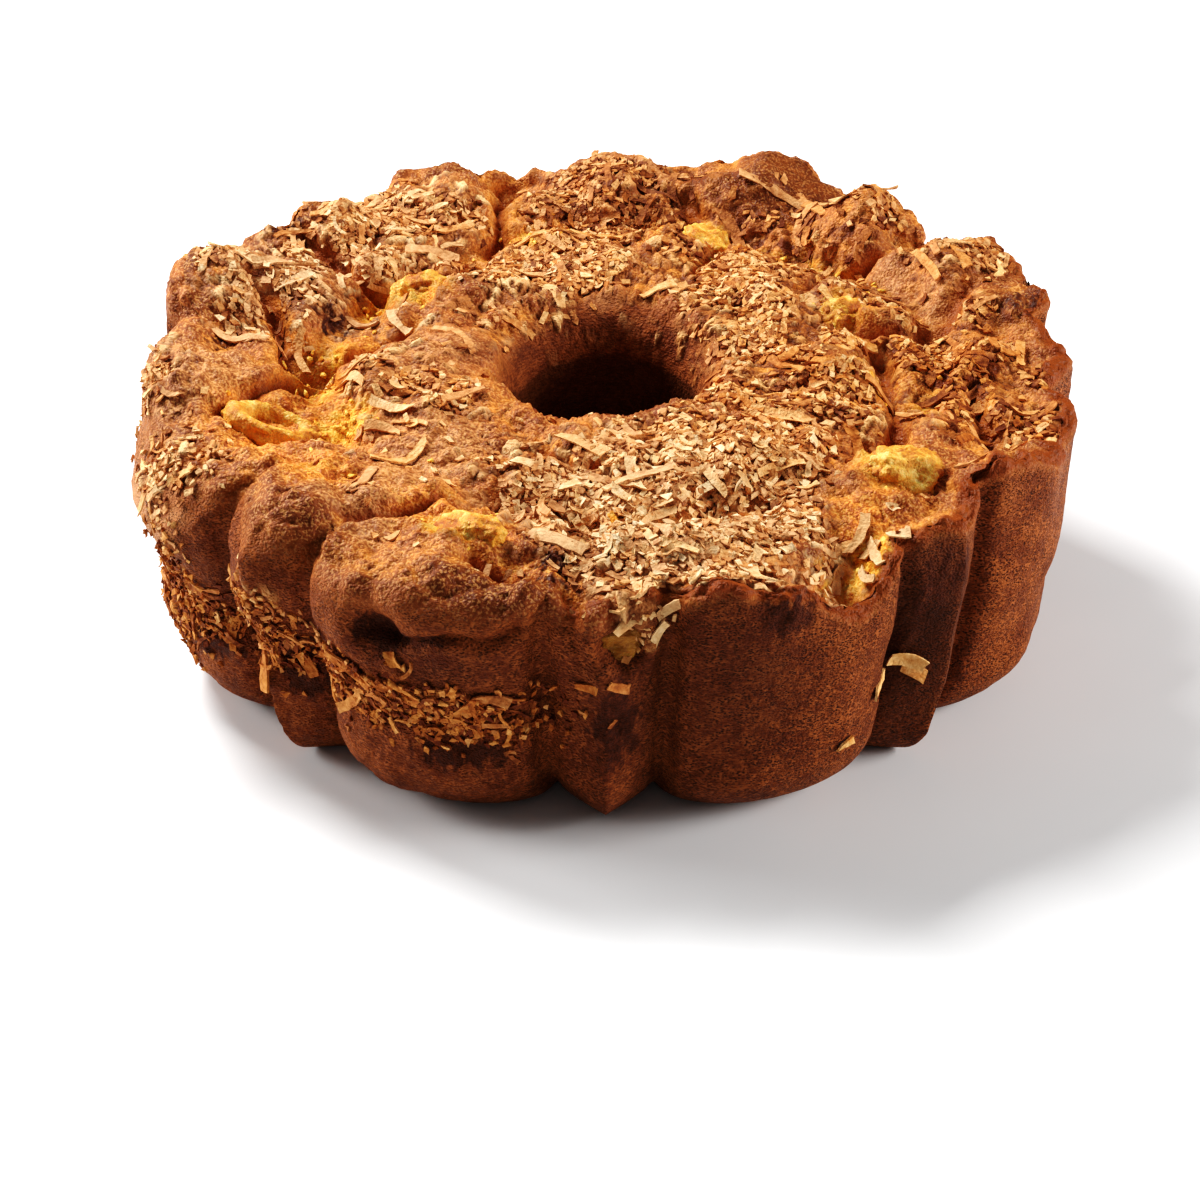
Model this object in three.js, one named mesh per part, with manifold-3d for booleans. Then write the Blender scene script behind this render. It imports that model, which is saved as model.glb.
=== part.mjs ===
// A ring cake baked in a fluted tin: risen side up, with toasted coconut and pineapple pieces.
// Millimetres, +Z up, origin on the surface it stands on, at the middle of the ring.
// A bearing is in degrees from the front of the cake (-Y), positive towards its right (+X).
import * as THREE from 'three';
import { mergeVertices } from 'three/addons/utils/BufferGeometryUtils.js';
import Module from 'manifold-3d';

// Fluted wall: eight round lobes and eight sharp ridges
const FLUTES = 8;
const FLUTE_ANGLE = 360 / FLUTES;
const RIDGE_HALF_ANGLE = 7.5;
const WALL_CURVE = 1.7;
const LOBE = { rim: 119, taper: 9, crownWidth: 14, crownHeight: 16 };
const RIDGE = { rim: 117, taper: 10, crownWidth: 10, crownHeight: 12 };
const VALLEY = { rim: 110.5, taper: 14.5, crownWidth: 14, crownHeight: 16 };
const SIDE_FLARE = 2;

// Risen top and the hole left by the tin's tube
const HOLE_RADIUS_TOP = 24;
const HOLE_RADIUS_BOTTOM = 28;
const HOLE_LIP = { width: 12, height: 15 };
const HOLE_FOOT = { width: 18, height: 14 };
const TOP_HEIGHT = 71;
const TOP_SLOPE = 0.055;
const SHOULDER_LEFT = { width: 13, height: 17 };
const SHOULDER_RIGHT = { width: 2.6, height: 4 };
const RIM_GROOVE = { inset: 9, width: 6, depth: 3 };
const NORMAL_REACH = 3;

// Lumps of the risen crust: bearing, radius, spread, height
const MOUNDS = [
  [-107, 105, 17, 15], [-134, 103, 12, 10], [-153, 102, 13, 6.5], [178, 101, 15, 6], [156, 106, 15, 11],
  [136, 103, 11, 13], [116, 102, 12, 11], [101, 108, 12, 11], [84, 95, 14, 5], [57, 111, 13, 8.5],
  [42, 112, 8, 4], [48, 84, 13, 3], [14, 112, 11, 5], [11, 95, 18, 3], [-20, 104, 17, 4], [-48, 100, 14, 5],
  [-82, 103, 15, 8], [-38, 73, 15, 4], [-62, 47, 14, 4], [-95, 44, 12, 3.5], [-140, 46, 13, 2.5],
  [176, 45, 14, 3], [130, 50, 13, 3], [78, 48, 14, 3.5], [35, 56, 15, 3], [0, 55, 14, 2],
];

// Torn places in the crust: bearing, radius, spread, depth
const DIPS = [
  [29, 113, 8, 10], [31, 101, 8, 5], [-167, 108, 6, 6], [125, 106, 6, 5], [-70, 87, 11, 4], [-127, 60, 9, 4],
  [-20, 90, 10, 4], [159, 76, 10, 5], [111, 66, 9, 4], [51, 90, 9, 4], [2, 114, 8, 4],
];

// The crack that runs round between the collar and the outer lumps
const CRACK = { radius: 77, wander: 9, wavelength: 120, seed: 0.37, width: 5.5, depth: 3.5 };

// Overflowed batter on the left wall, and the coconut that is caught below it
const OVERFLOW = { bearing: -52, reach: 46, height: 56, thickness: 14, bulge: 3.2 };
const ROUNDED_OVER = { gain: 1.6, start: 0.15 };
const COCONUT_BAND = { height: 33, halfHeight: 7, depth: 3 };

// Unevenness of the crust and of the wall, which fades out towards the flat foot
const CRUST_WAVES = [{ rise: 0.9, wavelength: 26, seed: 0.11 }, { rise: 0.6, wavelength: 14, seed: 0.53 }];
const WALL_WAVE = { rise: 0.5, wavelength: 24, seed: 0.71, fade: 12 };
const WAVES_IN_A_SUM = 9;

// Hollows in the wall: bearing, height, half width, half height, depth
const WALL_HOLLOWS = [[1.5, 54, 8, 8, 8], [-26, 54, 6, 5, 8]];

// Coconut cover of the top: bearing, radius, spread, share covered
const COCONUT_PATCHES = [
  [8, 78, 26, 0.9], [28, 98, 16, 0.6], [58, 52, 20, 0.85], [82, 90, 20, 0.7], [176, 96, 24, 0.85],
  [-112, 90, 22, 0.9], [-145, 97, 20, 0.8], [150, 80, 20, 0.55], [118, 95, 18, 0.5], [-70, 60, 16, 0.45],
  [-160, 55, 20, 0.6], [120, 45, 16, 0.5], [-40, 75, 18, 0.25],
];

// Pineapple pieces on top: bearing, radius, half sizes, turn, how far the middle stands above the crust
const PINEAPPLE_WEDGES = [
  { bearing: -127, radius: 60, half: [8, 6, 6], turn: 20, lift: 1.5 },
  { bearing: -20, radius: 90, half: [10, 6, 5], turn: 100, lift: 1 },
  { bearing: 159, radius: 76, half: [9, 6, 6], turn: 60, lift: 1.5 },
  { bearing: 111, radius: 66, half: [7, 6, 6], turn: 30, lift: 1 },
  { bearing: 50, radius: 90, half: [10, 7, 6], turn: 80, lift: 1.5 },
];
const PINEAPPLE_LOOP = { bearing: -70, radius: 87, ring: 9.5, tube: 3, squash: 0.62, turn: 75, lift: 1 };
const PINEAPPLE_IN_WALL = { bearing: 1.5, radius: 106, height: 54, half: [7, 6, 6], turn: 10 };
const WEDGE_DETAIL = 2;
const WEDGE_BOXINESS = 0.72;
const WEDGE_NARROWING = 0.25;
const WEDGE_LUMPS = { share: 0.05, wavelength: 1.3 };
const LOOP_STEPS = { tube: 8, ring: 22 };
const PIECE_GAP = 0.3;

// Toasted coconut flakes
const FLAKE_TRIES = 2600;
const FLAKES_ON_TOP = 84;
const FLAKES_ON_WALL = 16;
const FLAKE = { longest: 19, shortest: 9, width: 4.4, proud: 1.3, rooted: 3.5, steps: 2, narrowing: 0.35 };
const FLAKE_WIDTHS = { least: 0.8, spread: 0.4 };
const FLAKE_BEND = { least: 0.5, spread: 1.3 };
const FLAKE_TWIST = 0.5;
const FLAKE_SPACING = 5.5;
const FLAKE_CLEARANCE = 2;
const FLAKE_RIM_INSET = 4;
const WALL_FLAKE_EVERY = 5;

// How finely the crust is divided
const BEARING_STEPS = 96;
const SECTION_STEPS = { wall: 8, top: 10, lip: 2, hole: 1, foot: 2 };

// Ratios that spread points evenly
const GOLDEN = 0.6180339887;
const PLASTIC = 0.7548776662;
const PLASTIC_SQUARED = 0.5698402910;
const SILVER = Math.SQRT2 - 1;
const ROOT_THREE = Math.sqrt(3);

// Lengths below which points count as one, and a direction as none
const MERGE_DISTANCE = 1e-4;
const NO_LENGTH = 1e-3;

const CRUST = new THREE.MeshStandardMaterial({ color: 0xb4682c, roughness: 0.75, metalness: 0 });
const FRUIT = new THREE.MeshStandardMaterial({ color: 0xf0c24a, roughness: 0.45, metalness: 0 });

const clamp = THREE.MathUtils.clamp;
const radians = THREE.MathUtils.degToRad;
const fraction = (value) => value - Math.floor(value);
const bell = (distance) => Math.exp(-distance * distance);

// Shortest turn from one bearing to another
function turnBetween(from, to) {
  return fraction((to - from) / 360 + 0.5) * 360 - 180;
}

// A point of the cake from its bearing, radius and height
function place(bearing, radius, height) {
  const angle = radians(bearing);
  return new THREE.Vector3(radius * Math.sin(angle), -radius * Math.cos(angle), height);
}

// Distance over the top between two places given by bearing and radius
function distanceOnTop(bearing, radius, otherBearing, otherRadius) {
  return place(bearing, radius, 0).distanceTo(place(otherBearing, otherRadius, 0));
}

// Smooth unevenness from waves whose directions are spread by the golden ratio
function lumps(point, wavelength, seed) {
  let sum = 0;
  for (let i = 1; i <= WAVES_IN_A_SUM; i += 1) {
    const turn = 2 * Math.PI * fraction(i * GOLDEN + seed);
    const tilt = Math.asin(2 * fraction(i * PLASTIC + seed) - 1);
    const level = point.x * Math.cos(turn) + point.y * Math.sin(turn);
    const along = Math.cos(tilt) * level + Math.sin(tilt) * point.z;
    sum += Math.cos(2 * Math.PI * (along / wavelength + fraction(i * PLASTIC_SQUARED + seed)));
  }
  return sum / Math.sqrt(WAVES_IN_A_SUM);
}

// Quarter-ellipse rounding: full width at one end, nothing at the other
function rounding(share) {
  const t = clamp(share, 0, 1);
  return 1 - Math.sqrt(1 - t * t);
}

// Blend from lobe to valley to ridge round the wall
function acrossFlutes(bearing, lobe, valley, ridge) {
  const fromRidge = Math.abs(turnBetween(0, bearing * FLUTES) / FLUTES);
  if (fromRidge < RIDGE_HALF_ANGLE) {
    return valley + (ridge - valley) * (1 - fromRidge / RIDGE_HALF_ANGLE);
  }
  const halfFlute = FLUTE_ANGLE / 2;
  const t = (fromRidge - halfFlute) / (halfFlute - RIDGE_HALF_ANGLE);
  return valley + (lobe - valley) * Math.sqrt(Math.max(0, 1 - t * t));
}

// How much of the batter overflowed at this bearing, from 0 to 1
function overflowAt(bearing) {
  return bell(turnBetween(OVERFLOW.bearing, bearing) / OVERFLOW.reach);
}

// How far the shoulder is rounded over by overflowed batter, from 0 to 1
function roundedShare(bearing) {
  return clamp(ROUNDED_OVER.gain * overflowAt(bearing) - ROUNDED_OVER.start, 0, 1);
}

// Rounded shoulder on the overflowed left, thin upright rim on the right
function shoulderAt(bearing) {
  const share = roundedShare(bearing);
  return {
    width: SHOULDER_RIGHT.width + (SHOULDER_LEFT.width - SHOULDER_RIGHT.width) * share,
    height: SHOULDER_RIGHT.height + (SHOULDER_LEFT.height - SHOULDER_RIGHT.height) * share,
  };
}

// Radius of the rim, where the wall turns over into the top
function rimRadius(bearing) {
  return acrossFlutes(bearing, LOBE.rim, VALLEY.rim, RIDGE.rim) - shoulderAt(bearing).width;
}

// Height of the risen top
function topHeight(bearing, radius) {
  const point = place(bearing, radius, 0);
  let height = TOP_HEIGHT + TOP_SLOPE * point.y;
  for (const [at, out, spread, rise] of MOUNDS) {
    height += rise * bell(distanceOnTop(bearing, radius, at, out) / spread);
  }
  for (const [at, out, spread, depth] of DIPS) {
    height -= depth * bell(distanceOnTop(bearing, radius, at, out) / spread);
  }
  const wander = CRACK.wander * lumps(place(bearing, CRACK.radius, 0), CRACK.wavelength, CRACK.seed);
  height -= CRACK.depth * bell((radius - CRACK.radius - wander) / CRACK.width);
  const fromGroove = rimRadius(bearing) - radius - RIM_GROOVE.inset;
  height -= RIM_GROOVE.depth * (1 - roundedShare(bearing)) * bell(fromGroove / RIM_GROOVE.width);
  for (const { rise, wavelength, seed } of CRUST_WAVES) {
    height += rise * lumps(point, wavelength, seed);
  }
  return height;
}

// Radius of one kind of flute at a share of the wall's height
function fluteRadius(flute, height, wallHeight) {
  const crown = flute.crownWidth * rounding(1 - height / flute.crownHeight);
  return flute.rim - flute.taper * Math.pow(1 - height / wallHeight, WALL_CURVE) - crown;
}

// Radius of the outer wall
function wallRadius(bearing, height, wallHeight) {
  let radius = acrossFlutes(
    bearing,
    fluteRadius(LOBE, height, wallHeight),
    fluteRadius(VALLEY, height, wallHeight),
    fluteRadius(RIDGE, height, wallHeight),
  );
  radius += SIDE_FLARE * Math.sin(radians(bearing)) ** 2 * (1 - height / wallHeight);
  const shoulder = shoulderAt(bearing);
  radius -= shoulder.width * rounding((height - wallHeight + shoulder.height) / shoulder.height);
  const overflow = overflowAt(bearing);
  radius += overflow * OVERFLOW.bulge * bell((height - OVERFLOW.height) / OVERFLOW.thickness);
  radius -= overflow * COCONUT_BAND.depth * bell((height - COCONUT_BAND.height) / COCONUT_BAND.halfHeight);
  for (const [at, middle, halfWidth, halfHeight, depth] of WALL_HOLLOWS) {
    const across = radians(turnBetween(at, bearing)) * LOBE.rim / halfWidth;
    radius -= depth * bell(Math.hypot(across, (height - middle) / halfHeight));
  }
  const wave = lumps(place(bearing, LOBE.rim, height), WALL_WAVE.wavelength, WALL_WAVE.seed);
  return radius + clamp(height / WALL_WAVE.fade, 0, 1) * WALL_WAVE.rise * wave;
}

// Closed section of the ring at one bearing: wall, top, lip, hole and foot
function sectionAt(bearing) {
  const points = [];
  const rim = rimRadius(bearing);
  const wallHeight = topHeight(bearing, rim);
  const { wall, top, lip, hole, foot } = SECTION_STEPS;
  for (let i = 0; i < wall; i += 1) {
    const height = wallHeight * (0.5 - 0.5 * Math.cos(Math.PI * i / wall));
    points.push(place(bearing, wallRadius(bearing, height, wallHeight), height));
  }
  const lipRadius = HOLE_RADIUS_TOP + HOLE_LIP.width;
  for (let i = 0; i < top; i += 1) {
    const radius = rim + (lipRadius - rim) * i / top;
    points.push(place(bearing, radius, topHeight(bearing, radius)));
  }
  const lipHeight = topHeight(bearing, lipRadius);
  for (let i = 0; i < lip; i += 1) {
    const angle = Math.PI / 2 * i / lip;
    const radius = lipRadius - HOLE_LIP.width * Math.sin(angle);
    points.push(place(bearing, radius, lipHeight - HOLE_LIP.height * (1 - Math.cos(angle))));
  }
  for (let i = 0; i < hole; i += 1) {
    const share = i / hole;
    const radius = HOLE_RADIUS_TOP + (HOLE_RADIUS_BOTTOM - HOLE_RADIUS_TOP) * share;
    const height = lipHeight - HOLE_LIP.height;
    points.push(place(bearing, radius, height + (HOLE_FOOT.height - height) * share));
  }
  for (let i = 0; i <= foot; i += 1) {
    const angle = Math.PI / 2 * i / foot;
    const radius = HOLE_RADIUS_BOTTOM + HOLE_FOOT.width * (1 - Math.cos(angle));
    points.push(place(bearing, radius, HOLE_FOOT.height * (1 - Math.sin(angle))));
  }
  return points;
}

// Skin over a closed grid of points that meets itself both ways
function ringGeometry(sections) {
  const around = sections.length;
  const across = sections[0].length;
  const positions = sections.flat().flatMap((point) => point.toArray());
  const indices = [];
  for (let i = 0; i < around; i += 1) {
    const next = (i + 1) % around;
    for (let j = 0; j < across; j += 1) {
      const after = (j + 1) % across;
      const corners = [i * across + j, next * across + j, next * across + after, i * across + after];
      indices.push(corners[0], corners[1], corners[2], corners[0], corners[2], corners[3]);
    }
  }
  const geometry = new THREE.BufferGeometry();
  geometry.setAttribute('position', new THREE.Float32BufferAttribute(positions, 3));
  geometry.setIndex(indices);
  return geometry;
}

// The bare ring of cake
function ringOfCake() {
  const sections = [];
  for (let i = 0; i < BEARING_STEPS; i += 1) {
    sections.push(sectionAt(360 * i / BEARING_STEPS));
  }
  return ringGeometry(sections);
}

// Axes at a place on the cake: along the given turn, across it, and outwards
function frameOn(origin, outwards, turn) {
  const side = new THREE.Vector3(0, 0, 1).cross(outwards);
  if (side.length() < NO_LENGTH) {
    side.set(1, 0, 0);
  }
  side.normalize().applyAxisAngle(outwards, radians(turn));
  const across = outwards.clone().cross(side);
  return new THREE.Matrix4().makeBasis(side, across, outwards).setPosition(origin);
}

// Direction that the top faces at a place
function topNormal(bearing, radius) {
  const here = place(bearing, radius, topHeight(bearing, radius));
  const outwards = radius + NORMAL_REACH;
  const outer = place(bearing, outwards, topHeight(bearing, outwards));
  const turn = THREE.MathUtils.radToDeg(NORMAL_REACH / radius);
  const beside = place(bearing + turn, radius, topHeight(bearing + turn, radius));
  return outer.sub(here).cross(beside.sub(here)).normalize();
}

// Boxy wedge of pineapple, grown all round by a gap
function wedgeGeometry(half, gap) {
  const geometry = new THREE.IcosahedronGeometry(1, WEDGE_DETAIL);
  const position = geometry.getAttribute('position');
  const point = new THREE.Vector3();
  for (let i = 0; i < position.count; i += 1) {
    point.fromBufferAttribute(position, i);
    const boxy = point.toArray().map((value) => Math.sign(value) * Math.abs(value) ** WEDGE_BOXINESS);
    const narrow = 1 - WEDGE_NARROWING * boxy[0];
    const lump = 1 + WEDGE_LUMPS.share * lumps(point, WEDGE_LUMPS.wavelength, fraction(half[0] * GOLDEN));
    point.set(boxy[0] * half[0] * lump, boxy[1] * half[1] * narrow * lump, boxy[2] * half[2] * lump);
    point.setLength(point.length() + gap);
    position.setXYZ(i, point.x, point.y, point.z);
  }
  return geometry;
}

// Loop of pineapple, squashed across and grown all round by a gap
function loopGeometry(loop, gap) {
  const tube = loop.tube + gap / loop.squash;
  const geometry = new THREE.TorusGeometry(loop.ring, tube, LOOP_STEPS.tube, LOOP_STEPS.ring);
  return geometry.scale(1, loop.squash, 1);
}

// Every pineapple piece: its place, and its shape with or without a gap
function pineapplePieces() {
  const pieces = PINEAPPLE_WEDGES.map((wedge) => ({
    ...wedge,
    reach: Math.max(...wedge.half),
    shape: (gap) => wedgeGeometry(wedge.half, gap),
  }));
  pieces.push({
    ...PINEAPPLE_LOOP,
    reach: PINEAPPLE_LOOP.ring + PINEAPPLE_LOOP.tube,
    shape: (gap) => loopGeometry(PINEAPPLE_LOOP, gap),
  });
  for (const piece of pieces) {
    const height = topHeight(piece.bearing, piece.radius) + piece.lift;
    const origin = place(piece.bearing, piece.radius, height);
    piece.matrix = frameOn(origin, topNormal(piece.bearing, piece.radius), piece.turn);
  }
  const inWall = PINEAPPLE_IN_WALL;
  const origin = place(inWall.bearing, inWall.radius, inWall.height);
  pieces.push({
    ...inWall,
    reach: Math.max(...inWall.half),
    shape: (gap) => wedgeGeometry(inWall.half, gap),
    matrix: frameOn(origin, place(inWall.bearing, 1, 0), inWall.turn),
  });
  return pieces;
}

// How much of the top the coconut covers at a place, from 0 to 1
function coconutCover(bearing, radius) {
  let bare = 1;
  for (const [at, out, spread, share] of COCONUT_PATCHES) {
    bare *= 1 - share * bell(distanceOnTop(bearing, radius, at, out) / spread);
  }
  return 1 - bare;
}

// Curved strip of coconut along X: its face stands proud of the crust and its root is sunk in it
function flakeGeometry(length, width, bend, twist) {
  const positions = [];
  const indices = [];
  const corners = [[-1, -FLAKE.rooted], [1, -FLAKE.rooted], [1, FLAKE.proud], [-1, FLAKE.proud]];
  for (let i = 0; i <= FLAKE.steps; i += 1) {
    const share = 2 * i / FLAKE.steps - 1;
    const narrow = 1 - FLAKE.narrowing * share * share;
    for (const [across, up] of corners) {
      const side = across * width * narrow / 2;
      const rise = up > 0 ? bend * (1 - share * share) + side * twist * share : 0;
      positions.push(share * length / 2, side + bend * share * share, up + rise);
    }
  }
  const sides = corners.length;
  for (let i = 0; i < FLAKE.steps; i += 1) {
    for (let j = 0; j < sides; j += 1) {
      const a = i * sides + j;
      const b = i * sides + (j + 1) % sides;
      indices.push(a, b + sides, a + sides, a, b, b + sides);
    }
  }
  const last = FLAKE.steps * sides;
  indices.push(0, 2, 1, 0, 3, 2, last, last + 1, last + 2, last, last + 2, last + 3);
  const geometry = new THREE.BufferGeometry();
  geometry.setAttribute('position', new THREE.Float32BufferAttribute(positions, 3));
  geometry.setIndex(indices);
  return geometry;
}

// Whether a flake here keeps clear of the pineapple and of the flakes already laid
function hasRoom(origin, reach, pieces, laid) {
  const middle = new THREE.Vector3();
  const clearOfPieces = pieces.every((piece) => {
    middle.setFromMatrixPosition(piece.matrix);
    return middle.distanceTo(origin) > piece.reach + reach + FLAKE_CLEARANCE;
  });
  return clearOfPieces && laid.every((other) => other.distanceTo(origin) > FLAKE_SPACING);
}

// Where a draw lays a flake on the top, or null where the crust is bare
function spotOnTop(draw) {
  const bearing = 360 * fraction(draw * PLASTIC);
  const inner = HOLE_RADIUS_TOP + HOLE_LIP.width;
  const outer = rimRadius(bearing) - FLAKE_RIM_INSET;
  const radius = Math.sqrt(inner ** 2 + (outer ** 2 - inner ** 2) * fraction(draw * PLASTIC_SQUARED));
  if (fraction(draw * GOLDEN) > coconutCover(bearing, radius)) {
    return null;
  }
  const origin = place(bearing, radius, topHeight(bearing, radius));
  return { origin, outwards: topNormal(bearing, radius) };
}

// Where a draw lays a flake in the band on the left wall, or null beside it
function spotOnWall(draw) {
  const bearing = 360 * fraction(draw * PLASTIC);
  if (fraction(draw * GOLDEN) > overflowAt(bearing) ** 2) {
    return null;
  }
  const height = COCONUT_BAND.height + COCONUT_BAND.halfHeight * (2 * fraction(draw * PLASTIC_SQUARED) - 1);
  const wallHeight = topHeight(bearing, rimRadius(bearing));
  const origin = place(bearing, wallRadius(bearing, height, wallHeight), height);
  return { origin, outwards: place(bearing, 1, 0) };
}

// Flakes drawn in a fixed order, the largest first, where the coconut lies on the top and the left wall
function coconutFlakes(pieces) {
  const flakes = [];
  const laid = [];
  const wanted = FLAKES_ON_TOP + FLAKES_ON_WALL;
  let onWall = 0;
  for (let draw = 1; draw <= FLAKE_TRIES && laid.length < wanted; draw += 1) {
    const forWall = onWall < FLAKES_ON_WALL && draw % WALL_FLAKE_EVERY === 0;
    const spot = forWall ? spotOnWall(draw) : spotOnTop(draw);
    const length = FLAKE.longest + (FLAKE.shortest - FLAKE.longest) * Math.sqrt(laid.length / wanted);
    if (spot && hasRoom(spot.origin, length / 2, pieces, laid)) {
      const width = FLAKE.width * (FLAKE_WIDTHS.least + FLAKE_WIDTHS.spread * fraction(draw * GOLDEN));
      const bend = FLAKE_BEND.least + FLAKE_BEND.spread * fraction(draw * ROOT_THREE);
      const geometry = flakeGeometry(length, width, bend, FLAKE_TWIST * Math.sin(draw));
      const matrix = frameOn(spot.origin, spot.outwards, 360 * fraction(draw * SILVER));
      flakes.push(geometry.applyMatrix4(matrix));
      laid.push(spot.origin);
      onWall += forWall ? 1 : 0;
    }
  }
  return flakes;
}

const wasm = await Module();
wasm.setup();

// Closed solid of a geometry, for joining and cutting
function toSolid(geometry) {
  const bare = geometry.clone();
  bare.deleteAttribute('normal');
  bare.deleteAttribute('uv');
  const merged = mergeVertices(bare, MERGE_DISTANCE);
  const mesh = new wasm.Mesh({
    numProp: 3,
    vertProperties: new Float32Array(merged.getAttribute('position').array),
    triVerts: new Uint32Array(merged.getIndex().array),
  });
  return new wasm.Manifold(mesh);
}

// Geometry of a solid's surface
function toGeometry(solid) {
  const mesh = solid.getMesh();
  const geometry = new THREE.BufferGeometry();
  geometry.setAttribute('position', new THREE.BufferAttribute(mesh.vertProperties, 3));
  geometry.setIndex(new THREE.BufferAttribute(mesh.triVerts, 1));
  geometry.computeVertexNormals();
  return geometry;
}

// The main body alone: loose scraps are dropped and hollows sealed by flakes are filled
function mainBody(solid) {
  const bodies = toSolid(toGeometry(solid)).decompose();
  return bodies.sort((a, b) => b.volume() - a.volume())[0];
}

// The cake with its coconut fused on and a pocket for each pineapple piece
function buildCake(pieces) {
  let solid = toSolid(ringOfCake());
  for (const flake of coconutFlakes(pieces)) {
    solid = solid.add(toSolid(flake));
  }
  for (const piece of pieces) {
    solid = solid.subtract(toSolid(piece.shape(PIECE_GAP).applyMatrix4(piece.matrix)));
  }
  const cake = new THREE.Mesh(toGeometry(mainBody(solid)), CRUST);
  cake.name = 'cake';
  return cake;
}

// One pineapple piece, placed by its own matrix
function buildPineapple(piece, index) {
  const geometry = piece.shape(0);
  geometry.deleteAttribute('normal');
  geometry.deleteAttribute('uv');
  const merged = mergeVertices(geometry, MERGE_DISTANCE);
  merged.computeVertexNormals();
  const mesh = new THREE.Mesh(merged, FRUIT);
  mesh.name = `pineapple_${index + 1}`;
  mesh.applyMatrix4(piece.matrix);
  return mesh;
}

const pineapple = pineapplePieces();
const pineappleCake = new THREE.Group();
pineappleCake.add(buildCake(pineapple));
pineapple.forEach((piece, index) => pineappleCake.add(buildPineapple(piece, index)));

export default pineappleCake;
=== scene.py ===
"""Looks of a fluted ring cake with toasted coconut and pineapple, laid over its solids.

Lengths are in millimetres until a mesh is made. A bearing is in degrees from the front of the cake (-Y),
positive towards its right (+X). A heading is in degrees from +X, as seen from above.
"""

import itertools
import math

import bmesh
import bpy
import numpy as np
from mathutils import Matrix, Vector


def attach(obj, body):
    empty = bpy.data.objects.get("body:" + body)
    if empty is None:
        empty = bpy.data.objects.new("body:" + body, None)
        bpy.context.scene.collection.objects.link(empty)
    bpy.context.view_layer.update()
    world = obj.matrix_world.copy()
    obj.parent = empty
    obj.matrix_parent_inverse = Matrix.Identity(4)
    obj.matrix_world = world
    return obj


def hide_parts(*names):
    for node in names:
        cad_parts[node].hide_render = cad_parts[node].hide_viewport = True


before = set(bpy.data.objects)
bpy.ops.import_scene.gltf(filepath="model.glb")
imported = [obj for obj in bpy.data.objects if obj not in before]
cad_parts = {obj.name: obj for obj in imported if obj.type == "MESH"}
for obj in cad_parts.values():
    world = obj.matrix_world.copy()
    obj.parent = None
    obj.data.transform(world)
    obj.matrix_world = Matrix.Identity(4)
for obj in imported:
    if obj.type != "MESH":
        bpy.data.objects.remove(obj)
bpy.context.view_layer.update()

METRES = 0.001

# Fluted wall, as in the solids
FLUTES = 8
FLUTE_ANGLE = 360 / FLUTES
RIDGE_HALF_ANGLE = 7.5
WALL_CURVE = 1.7
LOBE = {"rim": 119, "taper": 9, "crown_width": 14, "crown_height": 16}
RIDGE = {"rim": 117, "taper": 10, "crown_width": 10, "crown_height": 12}
VALLEY = {"rim": 110.5, "taper": 14.5, "crown_width": 14, "crown_height": 16}
SIDE_FLARE = 2

# Risen top and tube hole, as in the solids
HOLE_RADIUS_TOP = 24
HOLE_RADIUS_BOTTOM = 28
HOLE_LIP = {"width": 12, "height": 15}
HOLE_FOOT = {"width": 18, "height": 14}
LIP_RADIUS = HOLE_RADIUS_TOP + HOLE_LIP["width"]
FOOT_RADIUS = HOLE_RADIUS_BOTTOM + HOLE_FOOT["width"]
TOP_HEIGHT = 71
TOP_SLOPE = 0.055
SHOULDER_LEFT = {"width": 13, "height": 17}
SHOULDER_RIGHT = {"width": 2.6, "height": 4}
RIM_GROOVE = {"inset": 9, "width": 6, "depth": 3}

# Lumps of the crust: bearing, radius, spread, height
MOUNDS = [
    (-107, 105, 17, 15), (-134, 103, 12, 10), (-153, 102, 13, 6.5), (178, 101, 15, 6), (156, 106, 15, 11),
    (136, 103, 11, 13), (116, 102, 12, 11), (101, 108, 12, 11), (84, 95, 14, 5), (57, 111, 13, 8.5),
    (42, 112, 8, 4), (48, 84, 13, 3), (14, 112, 11, 5), (11, 95, 18, 3), (-20, 104, 17, 4),
    (-48, 100, 14, 5), (-82, 103, 15, 8), (-38, 73, 15, 4), (-62, 47, 14, 4), (-95, 44, 12, 3.5),
    (-140, 46, 13, 2.5), (176, 45, 14, 3), (130, 50, 13, 3), (78, 48, 14, 3.5), (35, 56, 15, 3),
    (0, 55, 14, 2),
]

# Torn places in the crust: bearing, radius, spread, depth
DIPS = [
    (29, 113, 8, 10), (31, 101, 8, 5), (-167, 108, 6, 6), (125, 106, 6, 5), (-70, 87, 11, 4),
    (-127, 60, 9, 4), (-20, 90, 10, 4), (159, 76, 10, 5), (111, 66, 9, 4), (51, 90, 9, 4), (2, 114, 8, 4),
]

CRACK = {"radius": 77, "wander": 9, "wavelength": 120, "seed": 0.37, "width": 5.5, "depth": 3.5}
OVERFLOW = {"bearing": -52, "reach": 46, "height": 56, "thickness": 14, "bulge": 3.2}
ROUNDED_OVER = {"gain": 1.6, "start": 0.15}
COCONUT_BAND = {"height": 33, "half_height": 7, "depth": 3}
CRUST_WAVES = [(0.9, 26, 0.11), (0.6, 14, 0.53)]
WALL_WAVE = {"rise": 0.5, "wavelength": 24, "seed": 0.71, "fade": 12}
WAVES_IN_A_SUM = 9

# Hollows in the wall: bearing, height, half width, half height, depth
WALL_HOLLOWS = [(1.5, 54, 8, 8, 8), (-26, 54, 6, 5, 8)]

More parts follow.
